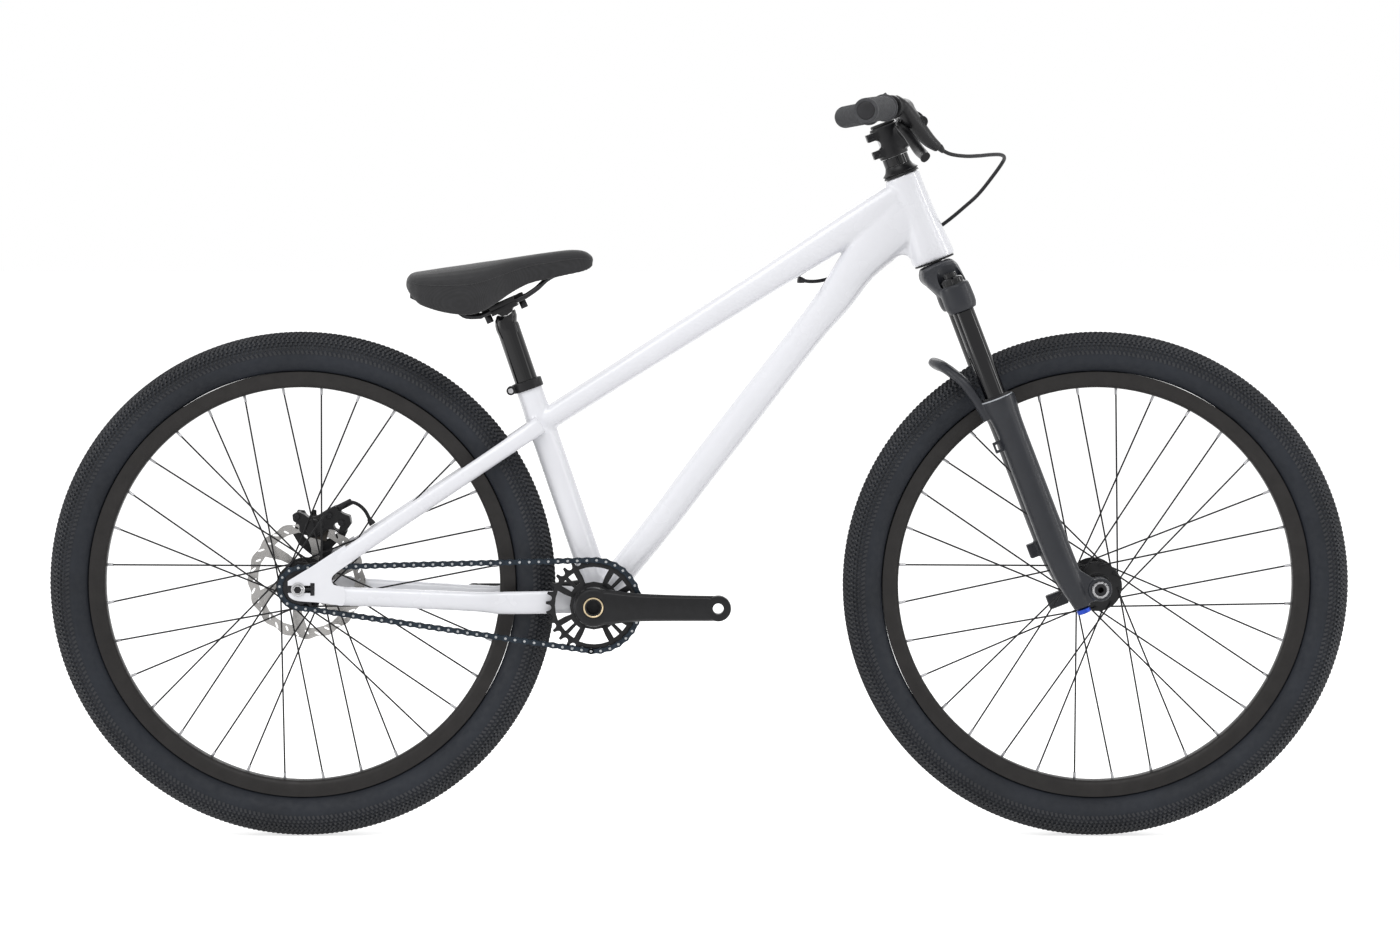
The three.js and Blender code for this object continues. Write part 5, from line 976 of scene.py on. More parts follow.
class BIKE_OT_fork(bpy.types.Operator):
    """Make the fork: crown, stanchions, seals, lowers and knob"""
    bl_idname = "bike.fork"
    bl_label = "Fork"

    def execute(self, context):
        grain_size = context.scene.bike_frame.cast_voxel
        # crown
        bm = bmesh.new()
        half = [(0, -0.1, 0, 1.08, 1), (0.3, 0, 0.02, 1.08, 1), (0.58, 0.1, 0.1, 1.05, 0.97),
                (0.8, 0.55, 0.75, 1.05, 0.86), (1, 1, 1.5, 1, 0.74)]

        def row(y, x, z, high, wide):
            return (LEG_OUT * x, LEG_SIDE * y, -17 - 20.5 * z, 27 * high, 53 * wide)

        rows = [row(-y, *rest) for y, *rest in reversed(half[1:])] + [row(*r) for r in half]
        sweep(bm, smooth_route(rows, 24), 32, FORWARD, 0.35)
        for side in (-LEG_SIDE, LEG_SIDE):
            shoulder = [(0, -73), (17.4, -73), (19, -72), (20.9, -66.5), (21.4, -60), (21, -46), (20.4, -39),
                        (19, -36.6), (17.4, -35.8), (0, -35.8)]
            lathe(bm, shoulder, Matrix.Translation((LEG_OUT, side, 0)), 48)
        placed(bm, HEAD)
        cutter = bmesh.new()
        for side in (-LEG_SIDE, LEG_SIDE):
            cylinder(cutter, 14.7, -90, 10, HEAD @ Matrix.Translation((LEG_OUT, side, 0)), 40)
            cylinder(cutter, 17.2, -43.5, 10, HEAD @ Matrix.Translation((LEG_OUT, side, 0)), 40)
        cylinder(cutter, 14.6, -90, 10, HEAD, 40)
        crown = cast(drawn(bm, "crown_shape"), grain_size * 0.8, 4, drawn(cutter, "bores"))
        piece(crown, "steering", "slate", ["fork_crown"], sharp=42)
        # stanchions
        for name, side in (("right", -LEG_SIDE), ("left", LEG_SIDE)):
            place = HEAD @ Matrix.Translation((LEG_OUT, side, 0))
            rows = [(12.4, -292), (14.4, -292), (14.4, -45), (13.8, -44), (6.4, -44), (6, -44.6), (6, -47),
                    (0, -47), (0, -51), (12.4, -51)]
            tube = turned("stanchion_tube_" + name, rows, place, 64, False)
            piece(tube, "steering", "gloss", ["stanchion_" + name])
            bm, cutter = bmesh.new(), bmesh.new()
            lathe(bm, [(0, -43.8), (16.9, -43.8), (16.9, -36.4), (16, -35.2), (15.4, -34.8), (15.2, -29.4),
                       (14, -28), (9.6, -26), (9, -21), (8, -20), (3.4, -20), (3, -22), (0, -22)], None, 60)
            rod(cutter, (16.2, 0, -34.6), (16.2, 0, -20), 1.7, 12)
            repeat_round(cutter, 12)
            for each in (bm, cutter):
                placed(each, place)
            cap = carve(drawn(bm, "stanchion_cap_" + name), drawn(cutter, "grooves"))
            piece(cap, "steering", "gloss", sharp=35)
            rows = [(14.7, -196.7), (20.4, -196.7), (20.4, -195), (19, -193.6), (16.6, -192.7), (14.7, -192.7)]
            seal = turned("wiper_shape_" + name, rows, place, 64)
            piece(seal, "fork_lowers", "rubber", ["wiper_" + name])
            rows = [(20.4, -197.6), (22.3, -197.6), (22.6, -197.2), (22.6, -196.4), (22.3, -196), (20.4, -196)]
            band = turned("seal_ring_" + name, rows, place, 64)
            piece(band, "fork_lowers", "pale")
        # lowers
        bm = bmesh.new()
        legs = [(0, 0.15, 1.21), (0.02, 0.16, 1.21), (0.05, 0.2, 1.18), (0.13, 0.3, 1.02), (0.34, 0.33, 1),
                (0.68, 0.36, 1), (0.84, 0.55, 0.93), (0.95, 0.9, 0.75), (1, 0.9, 0.6)]
        for side in (-1, 1):
            rows = [(LEG_OUT + 9.5 * x, side * LEG_SIDE, -197 - 300 * z, 38 * r, 38 * r) for z, x, r in legs]
            sweep(bm, smooth_route(rows, 40), 40)
            cylinder(bm, 15.6, side * LEG_SIDE - 15, side * LEG_SIDE + 15,
                     Matrix.Translation((47.5, 0, -482)) @ TO_Y, 40)
            web = [(9.3, -432), (31, -448), (47.5, -469.5), (47.5, -494.5), (23.3, -493.9)]
            plate(bm, web, side * LEG_SIDE - 10.5, side * LEG_SIDE + 10.5)
        for low in (-501, -427):
            box(bm, (-18, 58, low), (9, 72, low + 20))
        arch = [(-1.05, 1, -1.2, 1), (-1.35, 0.97, 0.5, 1), (-1.75, 0.88, 1.9, 0.9), (-2.5, 0.55, 3.1, 0.95),
                (-2.95, 0, 3.5, 1.1)]
        half = [(LEG_OUT + 19 * x, LEG_SIDE * y, -197 + 19 * z, 20 * s, 14) for x, y, z, s in arch]
        bow = [(x, -y, z, h, w) for x, y, z, h, w in half[:-1]] + [half[-1]] + half[:-1][::-1]
        sweep(bm, smooth_route(bow, 36), 28, Vector((0.8, 0, 0.6)), 0.3)
        placed(bm, HEAD)
        cutter = bmesh.new()
        for side in (-LEG_SIDE, LEG_SIDE):
            lathe(cutter, [(0, -400), (14.7, -400), (14.7, -198.2), (20.7, -198.2), (20.7, -190), (14.7, -190),
                           (14.7, -90), (0, -90)], HEAD @ Matrix.Translation((LEG_OUT, side, 0)), 48)
        cylinder(cutter, 7.8, -130, 130, AT_FRONT @ TO_Y, 40)
        cylinder(cutter, 11.8, -130, -79.4, AT_FRONT @ TO_Y, 40)
        lowers = cast(drawn(bm, "lowers_shape"), grain_size, 4, drawn(cutter, "bores"))
        piece(lowers, "fork_lowers", "slate", ["fork_lowers"], sharp=42)
        bm, cutter = bmesh.new(), bmesh.new()
        plate(bm, [(-17, -265.5), (-4, -265.5), (-4, -250.5), (-17, -250.5)], -68, -62, HEAD)
        plate(cutter, [(-14, -262), (-9.5, -262), (-9.5, -254), (-14, -254)], -80, -50, HEAD)
        tab = carve(drawn(bm, "hose_tab"), drawn(cutter, "tab_hole"))
        piece(tab, "fork_lowers", "slate", bevel=1)
        knob = HEAD @ Matrix.Translation((17.85, -LEG_SIDE, 0))
        bm = bmesh.new()
        rows = [(0, -505.2), (8.2, -505.2), (9.4, -504.2), (9.4, -499.4), (8.4, -498.4), (5, -497.6),
                (0, -497.6)]
        lathe(bm, rows, knob, 48)
        piece(drawn(bm, "knob_shape"), "rebound_knob", "blue", ["rebound_knob"])
        # headset and spacer
        rings = {
            "lower_cup": ([(14.7, -2.3), (26.8, -2.3), (27.4, -1.8), (27.4, -0.8), (27, -0.3), (22, -0.3),
                           (22, 12), (14.7, 12)], "frame", "headset_lower"),
            "upper_cup": ([(14.7, 109), (17, 109), (17, 121.3), (23.9, 121.3), (24.2, 121.7), (23.4, 123.6),
                           (22.8, 124.7), (14.7, 124.7)], "frame", "headset_upper"),
            "cover_cone": ([(14.6, 125), (24, 125), (24.5, 125.5), (24.4, 126.3), (21.6, 128.6), (19.4, 131.2),
                            (18, 134.6), (17.8, 135.6), (14.6, 135.6)], "steering", "headset_cover"),
            "spacer_ring": ([(14.6, 135.8), (17.2, 135.8), (17.6, 136.2), (17.6, 147.2), (17.2, 147.7),
                             (14.6, 147.7)], "steering", "spacer"),
            "top_cap": ([(0, 189.4), (14.3, 189.4), (14.3, 191.3), (16.4, 191.4), (17, 192), (17, 193.8),
                         (16, 195.1), (5, 195.4), (4.2, 194.6), (4.2, 192.6),
                         (0, 192.6)], "steering", "stem_cap"),
        }
        for name, (rows, body, node) in rings.items():
            paint = "gloss" if name == "spacer_ring" else "satin"
            shape = turned(name, rows, HEAD, 64, name != "top_cap")
            piece(shape, body, paint, [node])
        return {"FINISHED"}


# ---------------------------------------------------------------- cockpit

# The bar from its middle to its end, as shares of half its width: out, forward and up; and its diameter
BAR_HALF = 380
BAR_ROWS = [(0, 0, 0, 31.8), (0.1, 0, 0, 31.8), (0.14, -0.002, 0.004, 29.5), (0.19, -0.01, 0.022, 24.5),
            (0.25, -0.024, 0.045, 22.3), (0.33, -0.042, 0.061, 22.2), (0.66, -0.12, 0.0525, 22.2),
            (0.99, -0.194, 0.0397, 22.2)]


def bar_point(share, side):
    """A point on the bar's middle line, in the bar's own frame."""
    rows = [(0, 0, 0), (0.115, 0, 0), (0.17, -0.006, 0.012), (0.25, -0.024, 0.045), (0.33, -0.042, 0.063),
            (0.66, -0.12, 0.0525), (1, -0.196, 0.0395)]
    for a, b in zip(rows, rows[1:]):
        if share <= b[0] + 1e-9:
            part = (share - a[0]) / (b[0] - a[0])
            return Vector(((a[1] + (b[1] - a[1]) * part) * BAR_HALF, side * share * BAR_HALF,
                           (a[2] + (b[2] - a[2]) * part) * BAR_HALF))
    return Vector((rows[-1][1] * BAR_HALF, side * BAR_HALF, rows[-1][2] * BAR_HALF))


class BIKE_OT_bar(bpy.types.Operator):
    """Make the handlebar and its grips"""
    bl_idname = "bike.bar"
    bl_label = "Bar and grips"

    def execute(self, context):
        bm = bmesh.new()
        half = [(x * BAR_HALF, y * BAR_HALF, z * BAR_HALF, d, d) for y, x, z, d in BAR_ROWS]
        rows = [(x, -y, z, d, e) for x, y, z, d, e in half[:0:-1]] + half
        sweep(bm, smooth_route(rows, 70), 32, FORWARD)
        placed(bm, COCKPIT)
        piece(drawn(bm, "bar_tube"), "steering", "satin", ["handlebar"], sharp=50)
        for name, side in (("right", -1), ("left", 1)):
            end = bar_point(1, side)
            inward = (bar_point(0.66, side) - end).normalized()
            out = inward.cross(Vector((0, 0, 1))).normalized()
            place = COCKPIT @ basis(end, out, inward.cross(out), inward)
            profile = [(11.5, 3), (11.5, 0.4), (14.6, 0.2), (15.5, 1.2), (15.6, 6)]
            at = 8.0
            while at < 124:
                profile += [(15.6, at), (14.7, at + 0.5), (14.7, at + 1.5), (15.6, at + 2)]
                at += 4.0
            profile += [(15.6, 128), (17, 128.6), (17.5, 129.4), (17.5, 131.2), (16.9, 132), (11.5, 132)]
            piece(turned("grip_shape_" + name, profile, place, 48), "steering", "grip", ["grip_" + name],
                  sharp=25)
            plug = turned("bar_plug_" + name, [(0, -0.0), (9.5, 0.0), (11.2, 0.8), (11.2, 2.6), (0, 2.6)],
                          place, 40, False)
            piece(plug, "steering", "plastic")
        return {"FINISHED"}


class BIKE_OT_stem(bpy.types.Operator):
    """Make the stem, its faceplate and bolts"""
    bl_idname = "bike.stem"
    bl_label = "Stem"

    def execute(self, context):
        bm = bmesh.new()
        lathe(bm, chamfered(19.5, 148.1, 191.1, 0.9), None, 48)
        neck = [(0, 0, 169.6, 38.7, 37.4), (17, 0, 170, 35.3, 39.1), (34.5, 0, 178.3, 33.8, 54)]
        sweep(bm, smooth_route(neck, 10), 28, ACROSS, 0.5)
        lathe(bm, chamfered(19.9, -27, 27, 1), BAR_SEAT @ TO_Y, 48)
        for low in (152.6, 176.6):
            box(bm, (-27, -17, low), (0, 17, low + 10.6))
        placed(bm, HEAD)
        cutter = bmesh.new()
        cylinder(cutter, 14.6, 140, 200, HEAD, 40)
        cylinder(cutter, 16.2, -60, 60, HEAD @ BAR_SEAT @ TO_Y, 40)
        box(cutter, (-60, -1.7, 140), (0, 1.7, 200), HEAD)
        cylinder(cutter, 6.6, -40, 40, HEAD @ Matrix.Translation((-18.5, 0, 169.9)) @ TO_Y, 40)
        box(cutter, (34.5, -60, 140), (100, 60, 220), HEAD)
        stem = cast(drawn(bm, "stem_shape"), 1.0, 3, drawn(cutter, "bores"))
        piece(stem, "steering", "satin", ["stem"], sharp=42)
        bm = bmesh.new()
        lathe(bm, chamfered(19.9, -27, 27, 1), BAR_SEAT @ TO_Y, 64)
        placed(bm, HEAD)
        cutter = bmesh.new()
        cylinder(cutter, 16.2, -60, 60, HEAD @ BAR_SEAT @ TO_Y, 48)
        box(cutter, (-40, -60, 140), (34.8, 60, 220), HEAD)
        box(cutter, (34, -13, 171), (100, 13, 186), HEAD)
        face = carve(drawn(bm, "faceplate_shape"), drawn(cutter, "bores"))
        piece(face, "steering", "satin", ["faceplate"], bevel=0.8, sharp=40)
        bm = bmesh.new()
        for low in (152.6, 176.6):
            for side in (-1, 1):
                place = HEAD @ facing(side, (-22, 0, low + 5.3))
                lathe(bm, [(0, 16.8), (4.4, 16.8), (4.4, 19.6), (3.6, 20.2), (2.4, 20.2), (2.2, 18.2),
                           (0, 18.2)], place, 24)
        piece(drawn(bm, "stem_bolts"), "steering", "bolt")
        return {"FINISHED"}


class BIKE_OT_brake_lever(bpy.types.Operator):
    """Make the brake lever: body, clamp, reservoir and blade"""
    bl_idname = "bike.brake_lever"
    bl_label = "Brake lever"

    def execute(self, context):
        at = bar_point(0.545, -1)
        along = (bar_point(0.654, -1) - at).normalized()
        out = along.cross(Vector((0, 0, 1))).normalized()
        bm = bmesh.new()
        place = basis(at, out, along.cross(out), along)
        lathe(bm, chamfered(15.5, -7, 7, 0.9, 1), place, 48)
        shares = [(0.1, 0.02, -0.12, 0.7), (0.62, 0.14, -0.56, 0.92), (1.3, 0.5, -1.36, 0.96),
                  (2.05, 0.8, -2.2, 0.78), (2.6, 1, -2.62, 0.55)]
        rows = [(at.x + 24 * x, at.y + 48 * y, at.z + 24 * (z + 0.5), 24 * s, 24 * s) for x, y, z, s in shares]
        sweep(bm, smooth_route(rows, 16), 28)
        rod(bm, at, at + Vector((-12, 0, 15.5)), 6.2, 24)
        rod(bm, at + Vector((41, 22, -18)), at + Vector((41, 38, -18)), 7.6, 28)
        axis = Vector((-0.66063, 0, -0.75071))
        back = Vector((-22, -188, -2))
        rod(bm, back + axis * 6, back - axis * 24, 4.6, 20)
        placed(bm, COCKPIT)
        cutter = bmesh.new()
        cylinder(cutter, 11.5, -60, 60, COCKPIT @ place, 40)
        side = axis.cross(Vector((0, 1, 0))).normalized()
        slot = COCKPIT @ basis(back, side, ACROSS, axis)
        cylinder(cutter, 12, -3.6, 3.6, slot, 32)
        body = cast(drawn(bm, "lever_shape"), 0.9, 3, drawn(cutter, "bores"))
        piece(body, "steering", "satin", ["lever_body"], sharp=42)
        bm = bmesh.new()
        shares = [(0, 0, 0, 1), (0.35, -0.06, -0.3, 1), (0.8, -0.26, -0.76, 1.15), (1, -0.5, -0.94, 1.05),
                  (0.98, -0.78, -1, 1), (0.95, -1, -1.02, 1.1)]
        rows = [(back.x + 26 * x, back.y + 134 * y, back.z + 40 * z, 9.1 * s, 13 * s) for x, y, z, s in shares]
        sweep(bm, smooth_route(rows, 26), 24, axis, 0.15)
        lathe(bm, chamfered(7, -3, 3, 0.4), basis(back, side, ACROSS, axis), 40)
        placed(bm, COCKPIT)
        cutter = bmesh.new()
        cylinder(cutter, 2.7, -9, 9, COCKPIT @ basis(back, side, ACROSS, axis), 24)
        blade = cast(drawn(bm, "blade_shape"), 0.8, 3, drawn(cutter, "hole"))
        piece(blade, "brake_lever", "satin", ["lever_blade"], sharp=42)
        return {"FINISHED"}


# ---------------------------------------------------------------- rear brake and hoses

# Diameter of the hose and its two routes, in millimetres
HOSE = 5
HOSE_FRONT = [(310.2, -158.8, 921.3), (314, -156.5, 917), (326, -151, 911.5), (345, -138, 909),
              (364, -120, 909.5), (381, -100, 911), (395, -80, 911), (401, -66, 907.5), (398.9, -52, 899.6),
              (386.3, -28, 879.6), (370.5, -4, 858), (352.9, 18, 840.6), (336.5, 33, 825.9), (318, 42, 812),
              (296, 44, 800), (272, 44, 788), (249.2, 42, 774.5), (222.3, 38, 761), (195.3, 31, 751),
              (176.1, 22, 746.5), (160, 17, 743), (147, 13, 742.5), (137, 10, 744.2), (132, 9, 745.3)]
HOSE_REAR = [(-441.5, 65.4, 412.6), (-444.8, 65.2, 417.6), (-451, 64.5, 430), (-459, 62, 438.5),
             (-468, 58, 443), (-477, 54, 442.5), (-484, 52, 436), (-487, 52, 429), (-488.2, 52, 423)]

# The second body of the front hose, and the two ends of the stretch meant to bend with the steering; piece does
# not use them, and the hose stays unattached where it is drawn
HOSE_BEND = ("frame", (330, -148, 911), (262, 43, 781))


class BIKE_OT_rotor(bpy.types.Operator):
    """Make the brake rotor with its waves, arms and holes"""
    bl_idname = "bike.rotor"
    bl_label = "Rotor"

    def execute(self, context):
        bm = bmesh.new()
        turns = [2 * pi * i / 192 for i in range(192)]
        plate(bm, [polar(78.4 + 1.5 * cos(16 * a), a) for a in turns], 48.8, 50.6)
        cutter = bmesh.new()
        width = pi / 3
        window = [(25, 0.18), (44, 0.36), (64, 0.5), (65.5, 0.66), (65.5, 0.84), (65.5, 1.02), (64, 1.2),
                  (44, 1.08), (25, 0.86), (23.5, 0.52)]
        for i in range(6):
            start = i * pi / 3
            plate(cutter, [polar(r, start + width * t) for r, t in window], 40, 60)
        plate(cutter, [polar(12, 2 * pi * i / 40) for i in range(40)], 40, 60)
        rounds = [2 * pi * (k + 0.5) / 12 for k in range(12)]
        for i in range(32):
            a = i * pi / 16
            lean = a + (0.9 if i % 2 else 0.75)
            x, z = polar(73.4 if i % 2 else 70.4, a)
            along, wide = Vector((cos(lean), sin(lean))), Vector((-sin(lean), cos(lean)))
            length = 3.6 if i % 2 else 2.6
            slot = [along * (length * cos(t) + (1.2 if cos(t) > 0 else -1.2)) + wide * 1.35 * sin(t)
                    for t in rounds]
            plate(cutter, [(x + p.x, z + p.y) for p in slot], 40, 60)
        rotor = carve(drawn(bm, "rotor_plate"), drawn(cutter, "windows"), False)
        rotor.data.transform(Matrix.Translation(REAR * MM))
        piece(rotor, "rear_wheel", "rotor", ["brake_rotor"], bevel=0.3, segments=1, sharp=30)
        bm = bmesh.new()
        lathe(bm, [(5.4, 50.8), (19, 50.8), (19.8, 51.2), (19.8, 52), (18, 52.2), (14, 52.2), (5.4, 52.2)],
              AT_REAR @ TO_Y, 48, True)
        piece(drawn(bm, "rotor_lockring"), "rear_wheel", "satin")
        return {"FINISHED"}


def copy_of(node):
    """A welded copy of a CAD node, in millimetres, to be shaped further."""
    bm = bmesh.new()
    bm.from_mesh(frame["nodes"][node].data)
    bmesh.ops.remove_doubles(bm, verts=list(bm.verts), dist=1e-6)
    bmesh.ops.scale(bm, vec=(1000, 1000, 1000), verts=list(bm.verts))
    bmesh.ops.dissolve_limit(bm, angle_limit=radians(1), verts=list(bm.verts), edges=list(bm.edges))
    return bm


# Outlines seen from the left: the caliper from its foot, the bracket from the axle
CALIPER_OUTLINE = [(-5.9, 99), (2.9, 102.9), (10.8, 99), (15.7, 95), (27.4, 97), (38.2, 103.9), (52, 111),
                   (56, 104), (62.7, 100), (71.5, 97), (73.5, 86.2), (65.7, 75.5), (56.8, 73.5), (51, 78),
                   (42.1, 79.3), (32.3, 69.6), (18.6, 67.6), (5.9, 75.5), (2.9, 85.3), (-4.9, 90.2)]
BRACKET_OUTLINE = [(-19, 62), (-17, 68), (-13, 84), (-6, 84), (-7, 68), (-4, 58), (6, 50), (30, 56), (42, 64),
                   (47, 80), (54, 80), (55, 66), (50, 56), (40, 50), (34, 44), (32, 28), (14, 20), (8, 32),
                   (-2, 40), (-11, 48)]


class BIKE_OT_caliper(bpy.types.Operator):
    """Make the brake caliper, its bracket and bolts"""
    bl_idname = "bike.caliper"
    bl_label = "Caliper"

    def execute(self, context):
        foot = REAR + Vector((-12, 0, -9))
        at = Matrix.Translation(foot)
        bm = bmesh.new()
        plate(bm, CALIPER_OUTLINE, 38.5, 62.5, at)
        plate(bm, [(-6, 93), (0, 104), (9, 103), (16, 90), (10, 78), (2, 78)], 56, 65.5, at)
        lathe(bm, chamfered(11.4, 30, 69, 0.8, 1), at @ Matrix.Translation((24, 0, 82)) @ TO_Y, 40)
        rod(bm, foot + Vector((50, 58, 104)), foot + Vector((73, 58, 115.5)), 4.6, 20)
        rod(bm, foot + Vector((22, 58, 94)), foot + Vector((22, 58, 104)), 3.4, 16)
        rod(bm, foot + Vector((12, 40, 80)), foot + Vector((12, 61, 80)), 9, 28)
        cutter = bmesh.new()
        cylinder(cutter, 83, 45, 54.4, AT_REAR @ TO_Y, 64)
        cylinder(cutter, 5, 20, 80, at @ Matrix.Translation((55, 0, 83)) @ TO_Y, 24)
        cylinder(cutter, 5.6, 66, 80, at @ Matrix.Translation((24, 0, 82)) @ TO_Y, 6)
        body = cast(drawn(bm, "caliper_shape"), 0.9, 2, drawn(cutter, "gap"))
        piece(body, "frame", "satin", ["brake_caliper"], sharp=42)
        bm = bmesh.new()
        plate(bm, BRACKET_OUTLINE, 57, 66.9, AT_REAR)
        piece(drawn(bm, "bracket_plate"), "frame", "satin", ["caliper_bracket"], bevel=1.2, segments=3,
              sharp=30)
        bm = bmesh.new()
        for x, z in ((0.5, 96), (60, 88), (44, 98)):
            place = at @ Matrix.Translation((x, 0, z)) @ TO_Y
            outer = [(0, 60), (4.4, 60), (4.4, 69), (3.6, 69.8), (2.4, 69.8), (2.2, 67), (0, 67)]
            inner = [(0, 40), (4.4, 40), (4.4, 36.6), (3.6, 35.8), (2.4, 35.8), (2.2, 38), (0, 38)]
            lathe(bm, outer, place, 24)
            lathe(bm, inner, place, 24)
        piece(drawn(bm, "caliper_bolts"), "frame", "bolt")
        return {"FINISHED"}


class BIKE_OT_hoses(bpy.types.Operator):
    """Make the two visible lengths of brake hose with their ends"""
    bl_idname = "bike.hoses"
    bl_label = "Brake hose"

    def execute(self, context):
        for name, points, body in (("front", HOSE_FRONT, "steering"), ("rear", HOSE_REAR, "frame")):
            bm = bmesh.new()
            rows = smooth_route([(*p, HOSE, HOSE) for p in points], 110 if name == "front" else 50)
            sweep(bm, rows, 16, Vector((0.2, 0.3, 1)).normalized())
            bend = HOSE_BEND if name == "front" else None
            piece(drawn(bm, "hose_" + name), body, "rubber", ["brake_hose_" + name], sharp=60, bend=bend)
            for spot, (start, stop) in enumerate(((0, 1), (-1, -2))):
                a, b = Vector(points[start]), Vector(points[stop])
                along = (b - a).normalized()
                out = along.cross(ACROSS).normalized()
                rows = [(2.6, 0), (4.6, 0), (4.8, 1), (4.4, 4), (3.1, 9), (2.6, 9.4)]
                piece(turned(f"hose_{name}_end_{spot + 1}", rows, basis(a, out, along.cross(out), along), 24),
                      "frame" if spot else body, "rubber")
        return {"FINISHED"}


# ---------------------------------------------------------------- seat

class BIKE_OT_seatpost(bpy.types.Operator):
    """Make the seatpost, its collar and the rail clamp"""
    bl_idname = "bike.seatpost"
    bl_label = "Seatpost"

    def execute(self, context):
        bm = bmesh.new()
        cylinder(bm, 15.45, 150, 386, None, 64)
        head = [(0, 0, 366, 27, 27), (0, 0, 382, 30.9, 30.9), (-0.4, 0, 390, 31.7, 30.8),
                (0.6, 0, 397, 29.6, 30.4), (4, 0, 402, 26, 30), (4, 0, 407, 26, 30)]
        sweep(bm, smooth_route(head, 12), 40, ACROSS, 0.15)
        placed(bm, SEAT)
        cutter = bmesh.new()
        cylinder(cutter, 13, 140, 370, SEAT, 40)
        cylinder(cutter, 13.8, -40, 40, SEAT @ Matrix.Translation((4, 0, 417.5)) @ TO_Y, 48)
        post = carve(drawn(bm, "post_shape"), drawn(cutter, "bores"))
        piece(post, "seatpost", "gloss", ["seatpost"], sharp=35)
        # clamp
        for node in ("rail_cradle", "rail_clamp", "clamp_bolt_front", "clamp_bolt_rear"):
            paint = "bolt" if "bolt" in node else "satin"
            piece(drawn(copy_of(node), node + "_shape"), "saddle_clamp", paint, [node], bevel=0.6, sharp=30)
        # collar
        bm = bmesh.new()
        lathe(bm, chamfered(20.4, 301, 313.5, 0.6), None, 64)
        lug = Matrix.Translation((-23.3, 0, 307.2)) @ TO_Y
        lathe(bm, chamfered(6, -11, 11, 0.6), lug, 32)
        box(bm, (-23.3, -11, 302.6), (-15, 11, 311.9))
        placed(bm, SEAT)
        cutter = bmesh.new()
        cylinder(cutter, 17.8, 290, 330, SEAT, 64)
        box(cutter, (-50, -1.8, 290), (0, 1.8, 330), SEAT)
        cylinder(cutter, 2.9, -30, 30, SEAT @ lug, 24)
        collar = cast(drawn(bm, "collar_shape"), 0.7, 2, drawn(cutter, "bores"))
        piece(collar, "frame", "satin", ["seat_collar"], sharp=42)
        bm = bmesh.new()
        lathe(bm, [(0, 11.3), (2.6, 11.3), (2.6, -11.2), (3.4, -11.2), (3.7, -11.5), (3.7, -13), (3.3, -13.4),
                   (1.7, -13.4), (1.6, -11.8), (0, -11.8)], SEAT @ lug, 32)
        piece(drawn(bm, "collar_bolt_shape"), "frame", "steel", ["collar_bolt"])
        return {"FINISHED"}


# Half outlines of the saddle, as shares: along, half width, and the heights of edge, crown and underside
SADDLE_ROWS = [(0, 0.42, 0.42, 0.57, 0.46), (0.02, 0.62, 0.32, 0.65, 0.46), (0.05, 0.75, 0.21, 0.68, 0.455),
               (0.09, 0.86, 0.11, 0.7, 0.45), (0.2, 0.97, 0.0, 0.755, 0.47), (0.32, 1, -0.05, 0.81, 0.49),
               (0.4, 0.93, -0.01, 0.85, 0.52), (0.48, 0.74, 0.13, 0.885, 0.55), (0.56, 0.52, 0.31, 0.925, 0.58),
               (0.66, 0.39, 0.48, 0.975, 0.64), (0.78, 0.335, 0.57, 1.03, 0.72), (0.88, 0.31, 0.64, 1.065, 0.8),
               (0.95, 0.26, 0.69, 1.045, 0.84), (0.99, 0.16, 0.75, 0.965, 0.84), (1, 0.06, 0.82, 0.9, 0.85)]
SADDLE_OVER = [(0, 1), (0.2, 0.996), (0.35, 0.985), (0.52, 0.95), (0.66, 0.9), (0.78, 0.82), (0.87, 0.72),
               (0.93, 0.6), (0.97, 0.45), (0.995, 0.3), (1, 0.2), (0.985, 0.08), (0.95, 0)]
SADDLE_UNDER = [(0.88, 0.0), (0.8, 0.05), (0.7, 0.5), (0.62, 1), (0.3, 1), (0, 1)]
SEAM_POINT = 7


def saddle_ring(row):
    along, wide, edge, crown, under = row
    x = -128 + 247.5 * along
    half = 68 * wide
    low, high, below = (-6.5 + 76 * s for s in (edge, crown, under))
    right = [(half * y, low + (high - low) * z) for y, z in SADDLE_OVER]
    right += [(half * y, low + max(below - low, 0.3) * z) for y, z in SADDLE_UNDER]
    left = [(-y, z) for y, z in right[-2:0:-1]]
    return [Vector((x, y, z)) for y, z in right + left]


